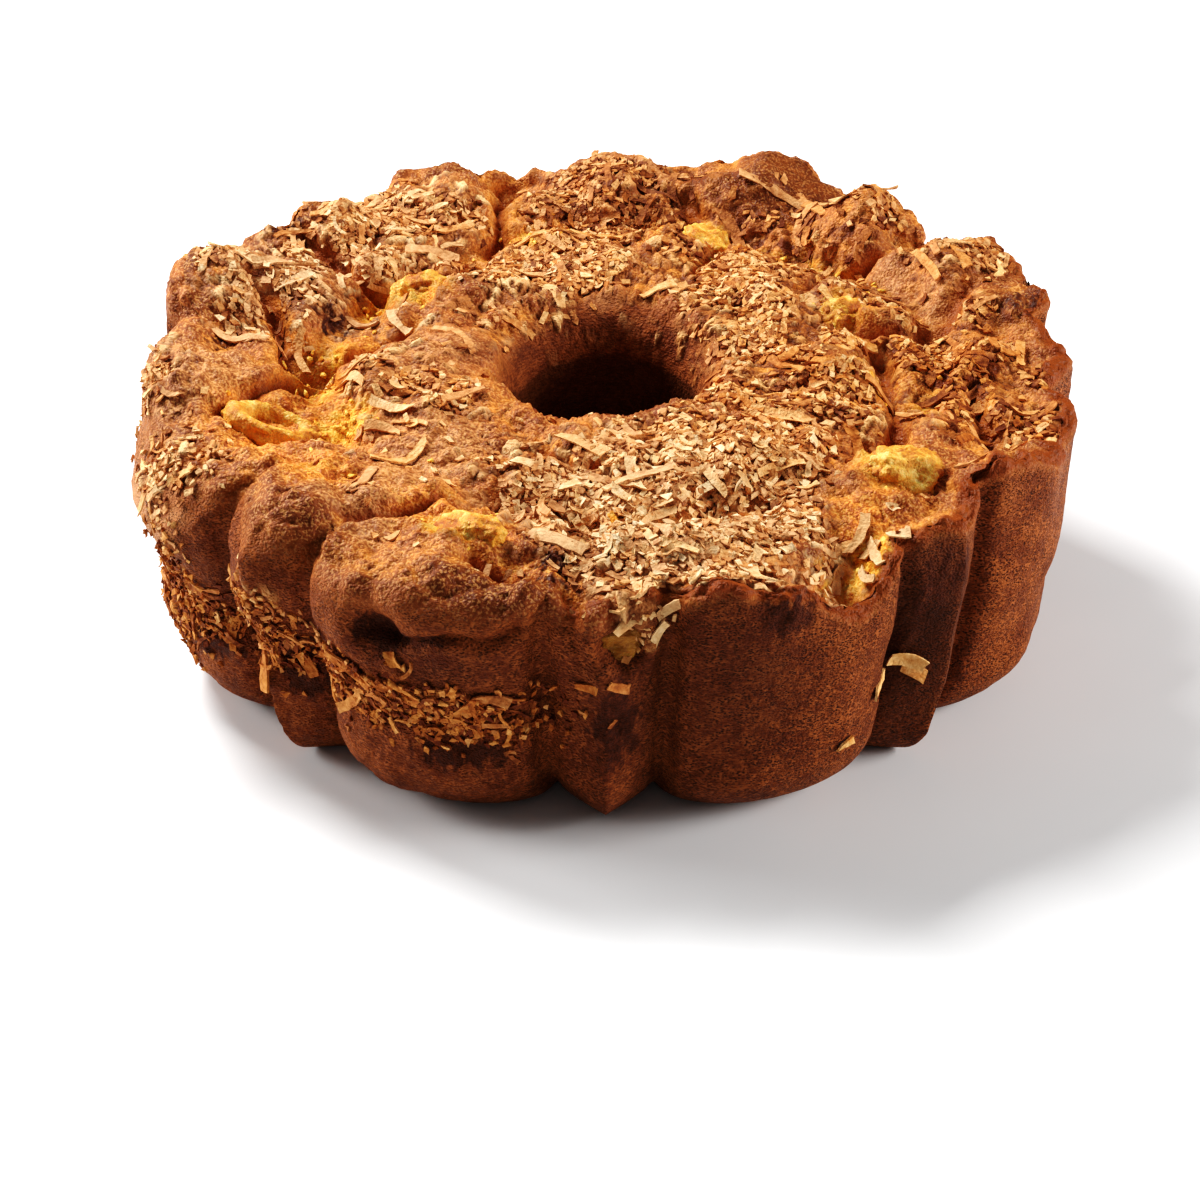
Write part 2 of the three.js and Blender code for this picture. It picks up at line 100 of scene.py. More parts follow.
# Coconut cover of the top: bearing, radius, spread, share covered
COCONUT_PATCHES = [
    (8, 78, 26, 0.9), (28, 98, 16, 0.6), (58, 52, 20, 0.85), (82, 90, 20, 0.7), (176, 96, 24, 0.85),
    (-112, 90, 22, 0.9), (-145, 97, 20, 0.8), (150, 80, 20, 0.55), (118, 95, 18, 0.5), (-70, 60, 16, 0.45),
    (-160, 55, 20, 0.6), (120, 45, 16, 0.5), (-40, 75, 18, 0.25),
]

# Fine coconut between those patches: bearing, radius, spread, share covered
FINE_COCONUT = [
    (-100, 46, 16, 0.6), (178, 52, 18, 0.75), (-175, 76, 14, 0.5), (142, 60, 20, 0.7), (98, 47, 18, 0.75),
    (-138, 78, 18, 0.75), (178, 106, 14, 0.8), (-124, 106, 14, 0.7), (118, 76, 14, 0.5),
    (98, 84, 18, 0.75), (116, 103, 12, 0.6), (138, 100, 14, 0.6), (2, 54, 18, 0.85), (30, 64, 18, 0.85),
    (-16, 60, 12, 0.7), (72, 66, 14, 0.5), (-60, 48, 12, 0.45), (-150, 45, 14, 0.6), (12, 100, 16, 0.85),
    (70, 104, 12, 0.6),
]

# Pineapple, as in the solids, with the crumb heaped round each piece
PINEAPPLE_WEDGES = [
    {"bearing": -127, "radius": 60, "half": (8, 6, 6), "turn": 20, "lift": 1.5, "heaped": 4.2},
    {"bearing": -20, "radius": 90, "half": (10, 6, 5), "turn": 100, "lift": 1, "heaped": 3.2},
    {"bearing": 159, "radius": 76, "half": (9, 6, 6), "turn": 60, "lift": 1.5, "heaped": 4.4},
    {"bearing": 111, "radius": 66, "half": (7, 6, 6), "turn": 30, "lift": 1, "heaped": 3.6},
    {"bearing": 50, "radius": 90, "half": (10, 7, 6), "turn": 80, "lift": 1.5, "heaped": 4.0},
]
PINEAPPLE_LOOP = {
    "bearing": -70, "radius": 87, "ring": 9.5, "tube": 3, "squash": 0.62, "turn": 75, "lift": 1,
    "heaped": -2.2,
}
PINEAPPLE_IN_WALL = {"bearing": 1.5, "radius": 106, "height": 54, "half": (7, 6, 6), "turn": 10}
WEDGE_BOXINESS = 0.72
WEDGE_NARROWING = 0.25
WEDGE_LUMPS = {"share": 0.05, "wavelength": 1.3}
WEDGE_DETAIL = 5
LOOP_STEPS = {"tube": 24, "ring": 96}
FIBRE = {"rise": 0.8, "size": 1.8, "stretch": 2}
TORN_FRUIT = {"rise": 1.3, "loop_rise": 0.5, "size": 5.5}
FRUIT_GRAIN = {"rise": 0.45, "size": 2.2}
NORMAL_REACH = 3

# Flakes pressed into the crust: size, how far long ones are drawn out, bevel, rise, and wobble of their edges
PRESSED = {
    "size": 3.4, "drawn_out": 0.78, "bevel": 0.16, "rise": 1.0, "least_rise": 0.3, "tilt": 0.7, "seed": 60,
    "wobble": 1.1, "wobble_size": 3, "wobble_seed": 80,
}
DRAWS_FOR_A_FLAKE = 7

# The large flakes that are fused to the solids, drawn by nearly the same rule
FLAKE_TRIES = 2600
FLAKES_ON_TOP = 84
FLAKES_ON_WALL = 16
FLAKE = {"longest": 19, "shortest": 9, "width": 4.4}
FLAKE_WIDTHS = {"least": 0.8, "spread": 0.4}
FLAKE_SPACING = 5.5
FLAKE_CLEARANCE = 2
FLAKE_RIM_INSET = 4
WALL_FLAKE_EVERY = 5

# Ratios that spread points evenly
GOLDEN = 0.6180339887
PLASTIC = 0.7548776662
PLASTIC_SQUARED = 0.5698402910
SILVER = math.sqrt(2) - 1

# Large numbers without common factors, which make a fixed draw for each cell of a lattice
CELL_FACTORS = (73856093, 19349663, 83492791)
SEED_FACTOR = 7919
MIXING_FACTOR = 1274126177
MIXING_SHIFTS = (13, 16)
LARGEST_DRAW = 0xFFFF

# Rounded lumps: how much they stand out, and what makes them level on average
BILLOW = {"gain": 1.6, "level": 0.45}

# Kinds of fine relief: rise and size in millimetres, and the seed of their noise
RELIEF = {
    "lumps": (2.7, 15, 1), "crags": (1.3, 6.5, 2), "nubs": (0.7, 3.1, 3), "grit": (0.4, 2.2, 4),
    "skin_waves": (0.4, 13, 6), "skin_grit": (0.14, 2.6, 7), "puffs": (0.9, 12, 8),
    "puff_grit": (0.25, 3, 12), "char": (1.2, 3.2, 9), "packed": (0.5, 5, 10), "crumb": (1.7, 4, 11),
    "heaped": (0.8, 4.5, 14), "fruit_lip": (1.2, 4, 15), "torn_rim": (1.3, 5, 13),
}
RELIEF_DRIFT = {"reach": 5, "size": 21, "seed": 40}
CHAR_STRETCH = (1, 1, 0.5)
SCALE_RISE = 0.55
RELIEF_ABOVE_BASE = 8

# Share of the relief that smooth skin, and coconut, take away
SMOOTHED = {"lumps": 0.35, "fine": 0.7, "scales": 0.5}
LUMPS_UNDER_COCONUT = 0.2

# Reach of the crust's zones, in millimetres and degrees
PAN_EDGE = {"sharp": 2.5, "rounded": 3}
LIP_SKIN = {"inset": 7, "fade": 4, "back": 175, "back_reach": 50, "back_rise": 5}
TORN_RIM = {"bearing": 48, "reach": 65, "most": 1.6, "least": 0.15, "width": 3.2}
BROKEN_CRACK = {"share": 0.55, "size": 22, "seed": 5, "inside": 1, "width": 5, "depth": 3, "crumb": 0.75}
CRACK_LINE = {"width": 2.5, "share": 0.8}
CREASE_WOBBLE = {"reach": 2.5, "size": 9, "seed": 50}
CREASE_DEPTH = 1.5
VALLEY_LINE = {"half_angle": 1.3, "depth": 1.6}
HEAP_REACH = 12
FRUIT_LIP = {"distance": 8, "width": 3, "rise": 2.6}
BROWN_EDGE = {"below": 4, "width": 6, "share": 0.55}
GLOW_DEPTH = 12
# Share of painted shade inside the tube hole
PAINTED_SHADE_IN_HOLE = 0.5
CLOSED_PORES = 0.4

# Where coconut is kept from, and how sharply pressed flakes begin and end
COVER_LOST = {"crease": 0.9, "crumb": 0.75}
FLAKED = {"gain": 1.15, "sharp": 4, "middle": 0.5, "edge_gain": 8, "edge_start": 0.4}

# Steps of the crust's fine mesh: round the ring, and along its section
BEARINGS = 800
STEPS = {"top": 96, "lip": 14, "hole": 9, "foot": 5, "bottom": 7, "wall": 112}

# Shreds that stand out in the top: bearing, radius, length, width, heading
NOTED_SHREDS = [
    (52, 53, 15, 2.6, -23), (22, 86, 23, 2.4, -34), (30, 81, 10, 2.2, 22), (-13, 60, 17, 2.8, -38),
    (-7, 48, 13, 2.6, -28), (14, 45, 12, 2.6, -5), (6, 62, 13, 2.4, -80), (-18, 72, 14, 3.0, -80),
    (17, 107, 15, 2.6, 68), (18, 111, 10, 2.6, -68), (-7, 90, 14, 3.6, -21), (36, 70, 12, 2.2, 26),
    (154, 83, 30, 3.2, -84), (152, 97, 20, 2.6, -31), (179, 89, 18, 1.8, -83), (-142, 77, 16, 3.4, 16),
    (-111, 87, 10, 2.4, 37), (-75, 64, 12, 2.6, -27), (-98, 38, 17, 2.2, -50), (-60, 60, 13, 2.4, -29),
    (-94, 93, 14, 2.4, -15), (75, 93, 14, 2.8, 42), (67, 98, 12, 2.4, -45), (58, 71, 11, 2.8, -74),
    (33, 109, 7, 2.0, -60), (36, 104, 6, 2.0, 30), (27, 111, 6, 2.2, 80), (26, 106, 7, 1.8, 50),
    (30, 103, 8, 2.4, 110), (38, 108, 6, 2.2, -20), (-157, 34, 9, 2.6, -55), (157, 36, 10, 2.4, 25),
    (151, 39, 8, 2.2, 60), (71, 80, 8, 2.2, -36), (55, 106, 8, 3.0, -20), (97, 65, 9, 2.6, 9),
    (145, 99, 25, 3.4, -52), (138, 104, 21, 3.4, 30),
]

# Coconut on the wall: bearing, height, half width, half height, share covered
WALL_COCONUT = [
    (-21, 34, 24, 7, 0.95), (-33, 37, 9, 6, 0.8), (-45, 43, 8, 9, 0.8), (-44, 32, 7, 5, 0.6),
    (-62, 30, 15, 9, 0.75), (-60, 50, 6, 10, 0.3), (-64, 66, 9, 8, 0.8), (-84, 72, 14, 8, 0.6),
    (4, 60, 5, 7, 0.8), (1, 67, 6, 4, 0.8), (-80, 34, 14, 8, 0.6), (-100, 36, 14, 8, 0.4),
]

# Chips that stand out on the wall: bearing, height, length, width, heading
NOTED_WALL_CHIPS = [
    (35, 30, 8.5, 2.6, 10), (40.5, 33, 9, 3.6, -15), (41.5, 29, 7, 3.6, -32), (29, 20, 4.5, 2, 25),
    (-41, 30, 7, 3, -60), (-24, 47, 4, 2.5, -50), (-63, 62, 9, 2.2, 60), (-66, 58, 11, 2.2, 75),
    (-61, 66, 8, 2, 50), (6, 57, 6, 2.2, 60), (7, 62, 6, 2.2, 35), (-2, 44, 6, 2.2, 5),
    (1, 44, 6, 2.2, -25), (3, 60, 9, 2.4, 50), (4, 64, 8, 2.6, 20), (2, 55, 7, 2.0, 70),
    (1, 67, 8, 4.0, 40), (5, 67, 7, 2.4, -30), (3, 51, 7, 1.8, 80), (-50, 48, 7, 3, -20),
    (-47, 45, 8, 3.5, -35), (-16, 36, 10, 3.5, 40), (-30, 41, 13, 3, -30), (-24, 38, 12, 3, -10),
    (-13, 40, 9, 2.5, -5),
]

# Yellow crumb that shows in the top: bearing, radius, spread, share
CRUMB_PATCHES = [
    (-65, 70, 9, 0.9), (-166, 70, 13, 0.8), (35, 106, 7, 1.0), (28, 106, 7, 0.6), (-22, 91, 9, 0.9),
    (-72, 88, 11, 0.3), (-50, 91, 9, 0.4), (50, 89, 11, 0.8), (78, 66, 9, 0.6), (159, 76, 11, 0.7),
    (111, 66, 10, 0.7), (-127, 60, 12, 0.8), (-98, 70, 9, 0.5),
]

# Burnt places on the wall, with painted shade on the ridge at 39 and 44 degrees: bearing, height, half width,
# half height, share
WALL_BURNS_AND_SHADE = [
    (-26, 53, 6.5, 5, 1.0), (-20, 54, 6, 1.5, 0.6), (1, 33, 7, 13, 0.85), (20, 61, 8, 5, 0.75),
    (44, 56, 9, 8, 0.5), (39, 38, 6, 16, 0.5), (-42, 31, 4, 5, 1.0), (-17, 22, 13, 5, 0.8),
    (-58, 24, 10, 6, 0.8), (-40, 24, 8, 6, 0.5), (97, 62, 6, 9, 0.6), (140, 30, 9, 6, 0.6),
    (-135, 28, 10, 6, 0.6),
]

# Painted shade on the wall, on ridge flanks and lobes that fall in shade and over the back: bearing, height,
# half width, half height, share
PAINTED_SHADE_ON_WALL = [
    (42, 42, 14, 34, 0.8), (16, 46, 20, 26, 0.4), (-52, 42, 9, 14, 0.5), (-20, 46, 18, 8, 0.35),
    (2, 40, 10, 20, 0.3), (175, 40, 120, 70, 0.32),
]

# Creases in the top: the bearings and radii they run through, width, depth
CREASES = [
    ([(-17, 100), (-8, 105), (-1, 109)], 2.4, 4.0),
    ([(-109, 96), (-92, 77), (-93, 64), (-104, 54)], 3.5, 4.5),
    ([(-72, 98), (-78, 88), (-90, 70)], 2.5, 2.5),
    ([(-165, 108), (-160, 86), (-154, 71), (-143, 61)], 3.0, 3.5),
    ([(95, 69), (80, 72), (66, 78), (54, 83)], 3.0, 3.5), ([(-18, 50), (-7, 58), (-1, 55)], 2.0, 2.5),
    ([(174, 95), (165, 91), (155, 74), (153, 55)], 2.5, 2.5),
    ([(80, 90), (70, 100), (62, 107)], 2.5, 3.0),
    ([(-40, 104), (-34, 90), (-29, 80), (-14, 78)], 2.2, 2.2),
    ([(104, 62), (98, 84), (108, 100)], 2.5, 2.5), ([(126, 60), (128, 82), (124, 108)], 2.5, 3.0),
    ([(-128, 56), (-124, 80), (-128, 104)], 2.5, 3.0),
]

# Creases in the wall: the bearings and heights they run through, width, depth
WALL_CREASES = [
    ([(-25, 53), (-18, 55), (-10, 58)], 1.6, 2.6), ([(-50, 66), (-47, 56), (-46, 48)], 2.5, 2.0),
    ([(-84, 64), (-86, 52), (-88, 44)], 2.5, 2.0), ([(-3, 66), (-4, 58), (-2, 48)], 2.0, 2.0),
]

# Dark places in the top, the one at (-107, 74) painted shade of a crevice: bearing, radius, spread, share
TOP_BURNS_AND_SHADE = [
    (-127, 109, 6, 0.6), (99, 110, 8, 0.5), (-6, 98, 8, 0.5), (-107, 74, 7, 0.5), (-92, 98, 7, 0.4),
]

# Well browned parts of the top: bearing, radius, spread, share
BROWN_PATCHES = [
    (140, 109, 13, 0.9), (100, 109, 12, 0.8), (-134, 107, 12, 0.7), (-107, 116, 12, 0.5),
    (-9, 112, 10, 0.85), (-21, 114, 9, 0.85), (154, 100, 15, 0.95), (-75, 112, 12, 0.5),
    (-48, 117, 9, 0.6), (60, 112, 9, 0.5), (150, 112, 14, 0.9), (-14, 102, 9, 0.8), (-110, 110, 13, 0.8),
    (-98, 108, 9, 0.5), (-118, 70, 8, 0.7), (-140, 79, 8, 0.6),
]

# Well browned parts of the wall: bearing, height, half width, half height, share
BROWN_WALL = [(-13, 66, 26, 15, 0.9), (-48, 68, 14, 8, 0.3)]

# Pale skin on the wall: bearing, height, half width, half height, share
PALE_WALL = [
    (-82, 74, 24, 12, 0.7), (-74, 48, 28, 24, 0.75), (-104, 50, 30, 22, 0.4), (-60, 58, 8, 12, 0.4),
]

# Smooth skin on the top without coconut: bearing, radius, spread, share
BARE_PATCHES = [
    (121, 85, 12, 0.8), (108, 90, 12, 0.75), (138, 95, 9, 0.6), (153, 92, 9, 0.5), (150, 114, 13, 0.9),
    (158, 112, 14, 0.9), (145, 107, 12, 0.8), (-101, 44, 12, 0.7), (-86, 34, 10, 0.8), (-118, 70, 9, 0.6),
    (-140, 79, 9, 0.5), (-95, 64, 10, 0.8), (-81, 76, 10, 0.8), (-36, 74, 11, 0.7), (-60, 56, 10, 0.5),
    (94, 102, 9, 0.6), (-40, 110, 14, 0.6), (38, 92, 8, 0.7),
]

# Paler skin on the top, partly painted sheen on smooth raised skin and painted light at the back of the
# hole's lip (178, 32): bearing, radius, spread, share
PALE_TOP_AND_PAINTED_LIGHT = [
    (178, 32, 12, 0.3), (-85, 42, 13, 0.5), (-101, 44, 11, 0.4), (-81, 108, 15, 0.8), (-83, 98, 12, 0.7),
    (121, 85, 11, 0.7), (108, 90, 11, 0.7), (-38, 74, 12, 0.7), (-60, 56, 16, 0.8), (-38, 60, 14, 0.6),
    (-36, 93, 11, 0.5), (-61, 112, 10, 0.4), (-40, 108, 14, 0.6), (-34, 95, 10, 0.4),
]

# Golden crust on the top: bearing, radius, spread, share
GOLDEN_TOP = [
    (-48, 93, 15, 0.8), (-62, 99, 11, 0.6), (-76, 68, 12, 0.7), (-30, 84, 10, 0.6), (-8, 101, 8, 0.6),
    (38, 99, 11, 0.8), (64, 78, 11, 0.6), (86, 71, 12, 0.7), (108, 78, 12, 0.6), (136, 74, 11, 0.5),
    (166, 70, 13, 0.7), (-166, 73, 14, 0.8), (-118, 72, 10, 0.6), (-98, 62, 10, 0.5), (50, 90, 15, 0.8),
    (-20, 90, 14, 0.8), (159, 76, 13, 0.8), (111, 66, 12, 0.8), (-127, 60, 13, 0.8), (-70, 87, 16, 0.8),
]


def fraction(value):
    return value - np.floor(value)


def bell(distance):
    return np.exp(-distance * distance)


def turn_between(start, end):
    """Shortest turn from one bearing to another."""
    return fraction((end - start) / 360 + 0.5) * 360 - 180


def place(bearing, radius, height):
    """Points of the cake from bearing, radius and height."""
    angle = np.radians(bearing)
    return np.stack(np.broadcast_arrays(radius * np.sin(angle), -radius * np.cos(angle), height), -1)


def bearing_of(points):
    return np.degrees(np.arctan2(points[..., 0], -points[..., 1]))


def radius_of(points):
    return np.hypot(points[..., 0], points[..., 1])


def distance_on_top(bearing, radius, at, out):
    """Distance over the top between places given by bearing and radius."""
    return np.linalg.norm(place(bearing, radius, 0.0) - place(at, out, 0.0), axis=-1)


def lumps(points, wavelength, seed):
    """Smooth unevenness from waves whose directions are spread by the golden ratio."""
    total = 0.0
    for i in range(1, WAVES_IN_A_SUM + 1):
        turn = 2 * math.pi * fraction(i * GOLDEN + seed)
        tilt = math.asin(2 * fraction(i * PLASTIC + seed) - 1)
        level = points[..., 0] * math.cos(turn) + points[..., 1] * math.sin(turn)
        along = math.cos(tilt) * level + math.sin(tilt) * points[..., 2]
        total = total + np.cos(2 * math.pi * (along / wavelength + fraction(i * PLASTIC_SQUARED + seed)))
    return total / math.sqrt(WAVES_IN_A_SUM)


def lattice(cells, seed):
    """A fixed draw from 0 to 1 for each whole-number cell."""
    mixed = seed * SEED_FACTOR
    for i, factor in enumerate(CELL_FACTORS):
        mixed = mixed ^ cells[..., i] * factor
    mixed = (mixed ^ (mixed >> MIXING_SHIFTS[0])) * MIXING_FACTOR
    return ((mixed ^ (mixed >> MIXING_SHIFTS[1])) & LARGEST_DRAW) / LARGEST_DRAW


def noise(points, size, seed):
    """Smooth unevenness from -1 to 1 with lumps of one size."""
    scaled = points / size
    low = np.floor(scaled)
    ease = scaled - low
    ease = ease * ease * (3 - 2 * ease)
    cells = low.astype(np.int64)
    total = 0.0
    for corner in itertools.product((0, 1), repeat=3):
        weight = np.prod(np.where(corner, ease, 1 - ease), axis=-1)
        total = total + weight * lattice(cells + np.array(corner), seed)
    return 2 * total - 1


def noise_vectors(points, size, seed):
    """Smooth unevenness of one size in each of the three directions."""
    return np.stack([noise(points, size, seed + i) for i in range(3)], -1)


def layered(points, size, seed, layers=3):
    """Unevenness of one size with finer and lower layers over it."""
    return sum(noise(points, size / 2**i, seed + i) / 2**i for i in range(layers))


def billow(points, size, seed):
    """Rounded lumps with creases between them, about level on average."""
    return BILLOW["gain"] * np.abs(noise(points, size, seed)) - BILLOW["level"]


def relief_of(kind, points, shape):
    """Relief of one kind, shaped by one of the noises above."""
    rise, size, seed = RELIEF[kind]
    return rise * shape(points, size, seed)


def pressed_flakes(points):
    """Flakes that share a surface: a tone and a chance drawn for each, its height, and 0 along its edge."""
    wobble = noise_vectors(points, PRESSED["wobble_size"], PRESSED["wobble_seed"])
    scaled = (points + PRESSED["wobble"] * wobble) / PRESSED["size"]
    home = np.floor(scaled).astype(np.int64)
    nearest = np.full(points.shape[:-1], np.inf)
    second = nearest.copy()
    tone, chance, tilted = np.zeros((3, *nearest.shape))
    for offset in itertools.product((-1, 0, 1), repeat=3):
        cells = home + np.array(offset)
        draws = [lattice(cells, PRESSED["seed"] + i) for i in range(DRAWS_FOR_A_FLAKE)]
        away = scaled - cells - np.stack(draws[:3], -1)
        turn = 2 * math.pi * draws[3]
        level = away[..., 0] * np.cos(turn) + away[..., 1] * np.sin(turn)
        along = level * np.cos(draws[4]) + away[..., 2] * np.sin(draws[4])
        apart = np.sqrt(np.sum(away * away, -1) - PRESSED["drawn_out"] * along * along)
        closer = apart < nearest
        second = np.where(closer, nearest, np.minimum(second, apart))
        nearest = np.where(closer, apart, nearest)
        tone = np.where(closer, draws[5], tone)
        chance = np.where(closer, draws[6], chance)
        tilted = np.where(closer, along * (draws[3] - 0.5), tilted)
    inside = np.clip((second - nearest) / PRESSED["bevel"], 0, 1)
    height = inside * (PRESSED["rise"] * (PRESSED["least_rise"] + tone) + PRESSED["tilt"] * tilted)
    return tone, chance, height, inside


def rounding(share):
    """Quarter-ellipse rounding: full width at one end, nothing at the other."""
    t = np.clip(share, 0, 1)
    return 1 - np.sqrt(1 - t * t)


def across_flutes(bearing, lobe, valley, ridge):
    """Blend from lobe to valley to ridge round the wall."""
    from_ridge = np.abs(turn_between(0, bearing * FLUTES) / FLUTES)
    on_ridge = valley + (ridge - valley) * (1 - from_ridge / RIDGE_HALF_ANGLE)
    half_flute = FLUTE_ANGLE / 2
    t = (from_ridge - half_flute) / (half_flute - RIDGE_HALF_ANGLE)
    on_lobe = valley + (lobe - valley) * np.sqrt(np.maximum(0, 1 - t * t))
    return np.where(from_ridge < RIDGE_HALF_ANGLE, on_ridge, on_lobe)


def overflow_at(bearing):
    """How much of the batter overflowed at a bearing, from 0 to 1."""
    return bell(turn_between(OVERFLOW["bearing"], bearing) / OVERFLOW["reach"])


def rounded_share(bearing):
    """How far the shoulder is rounded over by overflowed batter, from 0 to 1."""
    return np.clip(ROUNDED_OVER["gain"] * overflow_at(bearing) - ROUNDED_OVER["start"], 0, 1)


def shoulder_at(bearing):
    """Width and height of the shoulder: rounded on the left, a thin upright rim on the right."""
    share = rounded_share(bearing)
    return [SHOULDER_RIGHT[k] + (SHOULDER_LEFT[k] - SHOULDER_RIGHT[k]) * share for k in ("width", "height")]


def rim_radius(bearing):
    """Radius where the wall turns over into the top."""
    return across_flutes(bearing, LOBE["rim"], VALLEY["rim"], RIDGE["rim"]) - shoulder_at(bearing)[0]


def crack_distance(bearing, radius):
    """How far outside the crack a place on the top is."""
    wander = lumps(place(bearing, CRACK["radius"], 0.0), CRACK["wavelength"], CRACK["seed"])
    return radius - CRACK["radius"] - CRACK["wander"] * wander


def top_height(bearing, radius):
    """Height of the risen top."""
    point = place(bearing, radius, 0.0)
    height = TOP_HEIGHT + TOP_SLOPE * point[..., 1]
    for at, out, spread, rise in MOUNDS:
        height = height + rise * bell(distance_on_top(bearing, radius, at, out) / spread)
    for at, out, spread, depth in DIPS:
        height = height - depth * bell(distance_on_top(bearing, radius, at, out) / spread)
    height = height - CRACK["depth"] * bell(crack_distance(bearing, radius) / CRACK["width"])
    from_groove = rim_radius(bearing) - radius - RIM_GROOVE["inset"]
    groove = RIM_GROOVE["depth"] * bell(from_groove / RIM_GROOVE["width"])
    height = height - groove * (1 - rounded_share(bearing))
    for rise, wavelength, seed in CRUST_WAVES:
        height = height + rise * lumps(point, wavelength, seed)
    return height


def flute_radius(flute, height, wall_height):
    """Radius of one kind of flute at a height on the wall."""
    crown = flute["crown_width"] * rounding(1 - height / flute["crown_height"])
    return flute["rim"] - flute["taper"] * (1 - height / wall_height) ** WALL_CURVE - crown


def wall_radius(bearing, height, wall_height):
    """Radius of the outer wall."""
    flutes = [flute_radius(flute, height, wall_height) for flute in (LOBE, VALLEY, RIDGE)]
    radius = across_flutes(bearing, *flutes)
    radius = radius + SIDE_FLARE * np.sin(np.radians(bearing)) ** 2 * (1 - height / wall_height)
    width, tall = shoulder_at(bearing)
    radius = radius - width * rounding((height - wall_height + tall) / tall)
    overflow = overflow_at(bearing)
    bulge = bell((height - OVERFLOW["height"]) / OVERFLOW["thickness"])
    radius = radius + overflow * OVERFLOW["bulge"] * bulge
    band = bell((height - COCONUT_BAND["height"]) / COCONUT_BAND["half_height"])
    radius = radius - overflow * COCONUT_BAND["depth"] * band
    for at, middle, half_width, half_height, depth in WALL_HOLLOWS:
        radius = radius - depth * wall_patch(bearing, height, at, middle, half_width, half_height)
    wave = lumps(place(bearing, LOBE["rim"], height), WALL_WAVE["wavelength"], WALL_WAVE["seed"])
    return radius + np.clip(height / WALL_WAVE["fade"], 0, 1) * WALL_WAVE["rise"] * wave


def wall_patch(bearing, height, at, middle, half_width, half_height):
    """1 at the middle of a patch on the wall, falling to 0 round it."""
    across = np.radians(turn_between(at, bearing)) * LOBE["rim"] / half_width
    return bell(np.hypot(across, (height - middle) / half_height))


def line_distance(places, route):
    """How far flat places are from a line through the points of a route."""
    nearest = np.full(places.shape[:-1], np.inf)
    for start, end in zip(route, route[1:]):
        run = end - start
        share = np.clip((places - start) @ run / (run @ run), 0, 1)
        nearest = np.minimum(nearest, np.linalg.norm(places - start - share[..., None] * run, axis=-1))
    return nearest


def unrolled(bearing, height):
    """Flat places on the wall as if it were rolled out, by bearing and height."""
    return np.stack(np.broadcast_arrays(np.radians(turn_between(0, bearing)) * LOBE["rim"], height), -1)


def crease_shares(places, creases, to_place):
    """How far into a crease each flat place is, from 0 to 1, and how deep it lies there."""
    inside = np.zeros(places.shape[:-1])
    sunk = np.zeros(places.shape[:-1])
    for corners, width, depth in creases:
        route = [to_place(*corner) for corner in corners]
        share = bell(line_distance(places, route) / width)
        inside = np.maximum(inside, share)
        sunk = np.maximum(sunk, depth * share)
    return inside, sunk


def share_of_patches(patches, patch_at):
    """How much of a place a list of soft patches covers together, from 0 to 1."""
    bare = 1.0
    for *where, share in patches:
        bare = bare * (1 - share * patch_at(*where))
    return 1 - bare


def top_share(patches, bearing, radius):
    """Cover of a place on the top by patches of bearing, radius, spread and share."""
    return share_of_patches(
        patches, lambda at, out, spread: bell(distance_on_top(bearing, radius, at, out) / spread)
    )


def wall_share(patches, bearing, height):
    """Cover of a place on the wall by patches of bearing, height, half sizes and share."""
    return share_of_patches(patches, lambda *where: wall_patch(bearing, height, *where))


# The section of the ring, row by row: top, lip, hole, foot, bottom, wall
def section_rows():
    """Radius and height of every row of the fine mesh, at every bearing."""
    bearing = np.arange(BEARINGS) * 360 / BEARINGS
    rim = rim_radius(bearing)
    rim_height = top_height(bearing, rim)
    radii = []
    heights = []
    for i in range(STEPS["top"]):
        radius = rim + (LIP_RADIUS - rim) * i / STEPS["top"]
        radii.append(radius)
        heights.append(top_height(bearing, radius))
    lip_height = top_height(bearing, np.full(BEARINGS, float(LIP_RADIUS)))
    for i in range(STEPS["lip"]):
        angle = math.pi / 2 * i / STEPS["lip"]
        radii.append(np.full(BEARINGS, LIP_RADIUS - HOLE_LIP["width"] * math.sin(angle)))
        heights.append(lip_height - HOLE_LIP["height"] * (1 - math.cos(angle)))
    for i in range(STEPS["hole"]):
        share = i / STEPS["hole"]
        high = lip_height - HOLE_LIP["height"]
        radii.append(np.full(BEARINGS, HOLE_RADIUS_TOP + (HOLE_RADIUS_BOTTOM - HOLE_RADIUS_TOP) * share))
        heights.append(high + (HOLE_FOOT["height"] - high) * share)
    for i in range(STEPS["foot"]):
        angle = math.pi / 2 * i / STEPS["foot"]
        radii.append(np.full(BEARINGS, HOLE_RADIUS_BOTTOM + HOLE_FOOT["width"] * (1 - math.cos(angle))))
        heights.append(np.full(BEARINGS, HOLE_FOOT["height"] * (1 - math.sin(angle))))
    base = wall_radius(bearing, np.zeros(BEARINGS), rim_height)
    for i in range(STEPS["bottom"]):
        radii.append(FOOT_RADIUS + (base - FOOT_RADIUS) * i / STEPS["bottom"])
        heights.append(np.zeros(BEARINGS))
    for i in range(STEPS["wall"]):
        height = rim_height * (0.5 - 0.5 * math.cos(math.pi * i / STEPS["wall"]))
        radii.append(wall_radius(bearing, height, rim_height))
        heights.append(height)
    return bearing, rim, rim_height, np.array(radii), np.array(heights)


def grid_normals(grid):
    """Outward normals of a grid that meets itself both ways."""
    around = np.roll(grid, -1, axis=1) - np.roll(grid, 1, axis=1)
    along = np.roll(grid, -1, axis=0) - np.roll(grid, 1, axis=0)
    normal = np.cross(around, along)
    return normal / np.maximum(np.linalg.norm(normal, axis=-1, keepdims=True), 1e-9)


WALL_START = STEPS["top"] + STEPS["lip"] + STEPS["hole"] + STEPS["foot"] + STEPS["bottom"]
TOP_END = WALL_START - STEPS["bottom"]


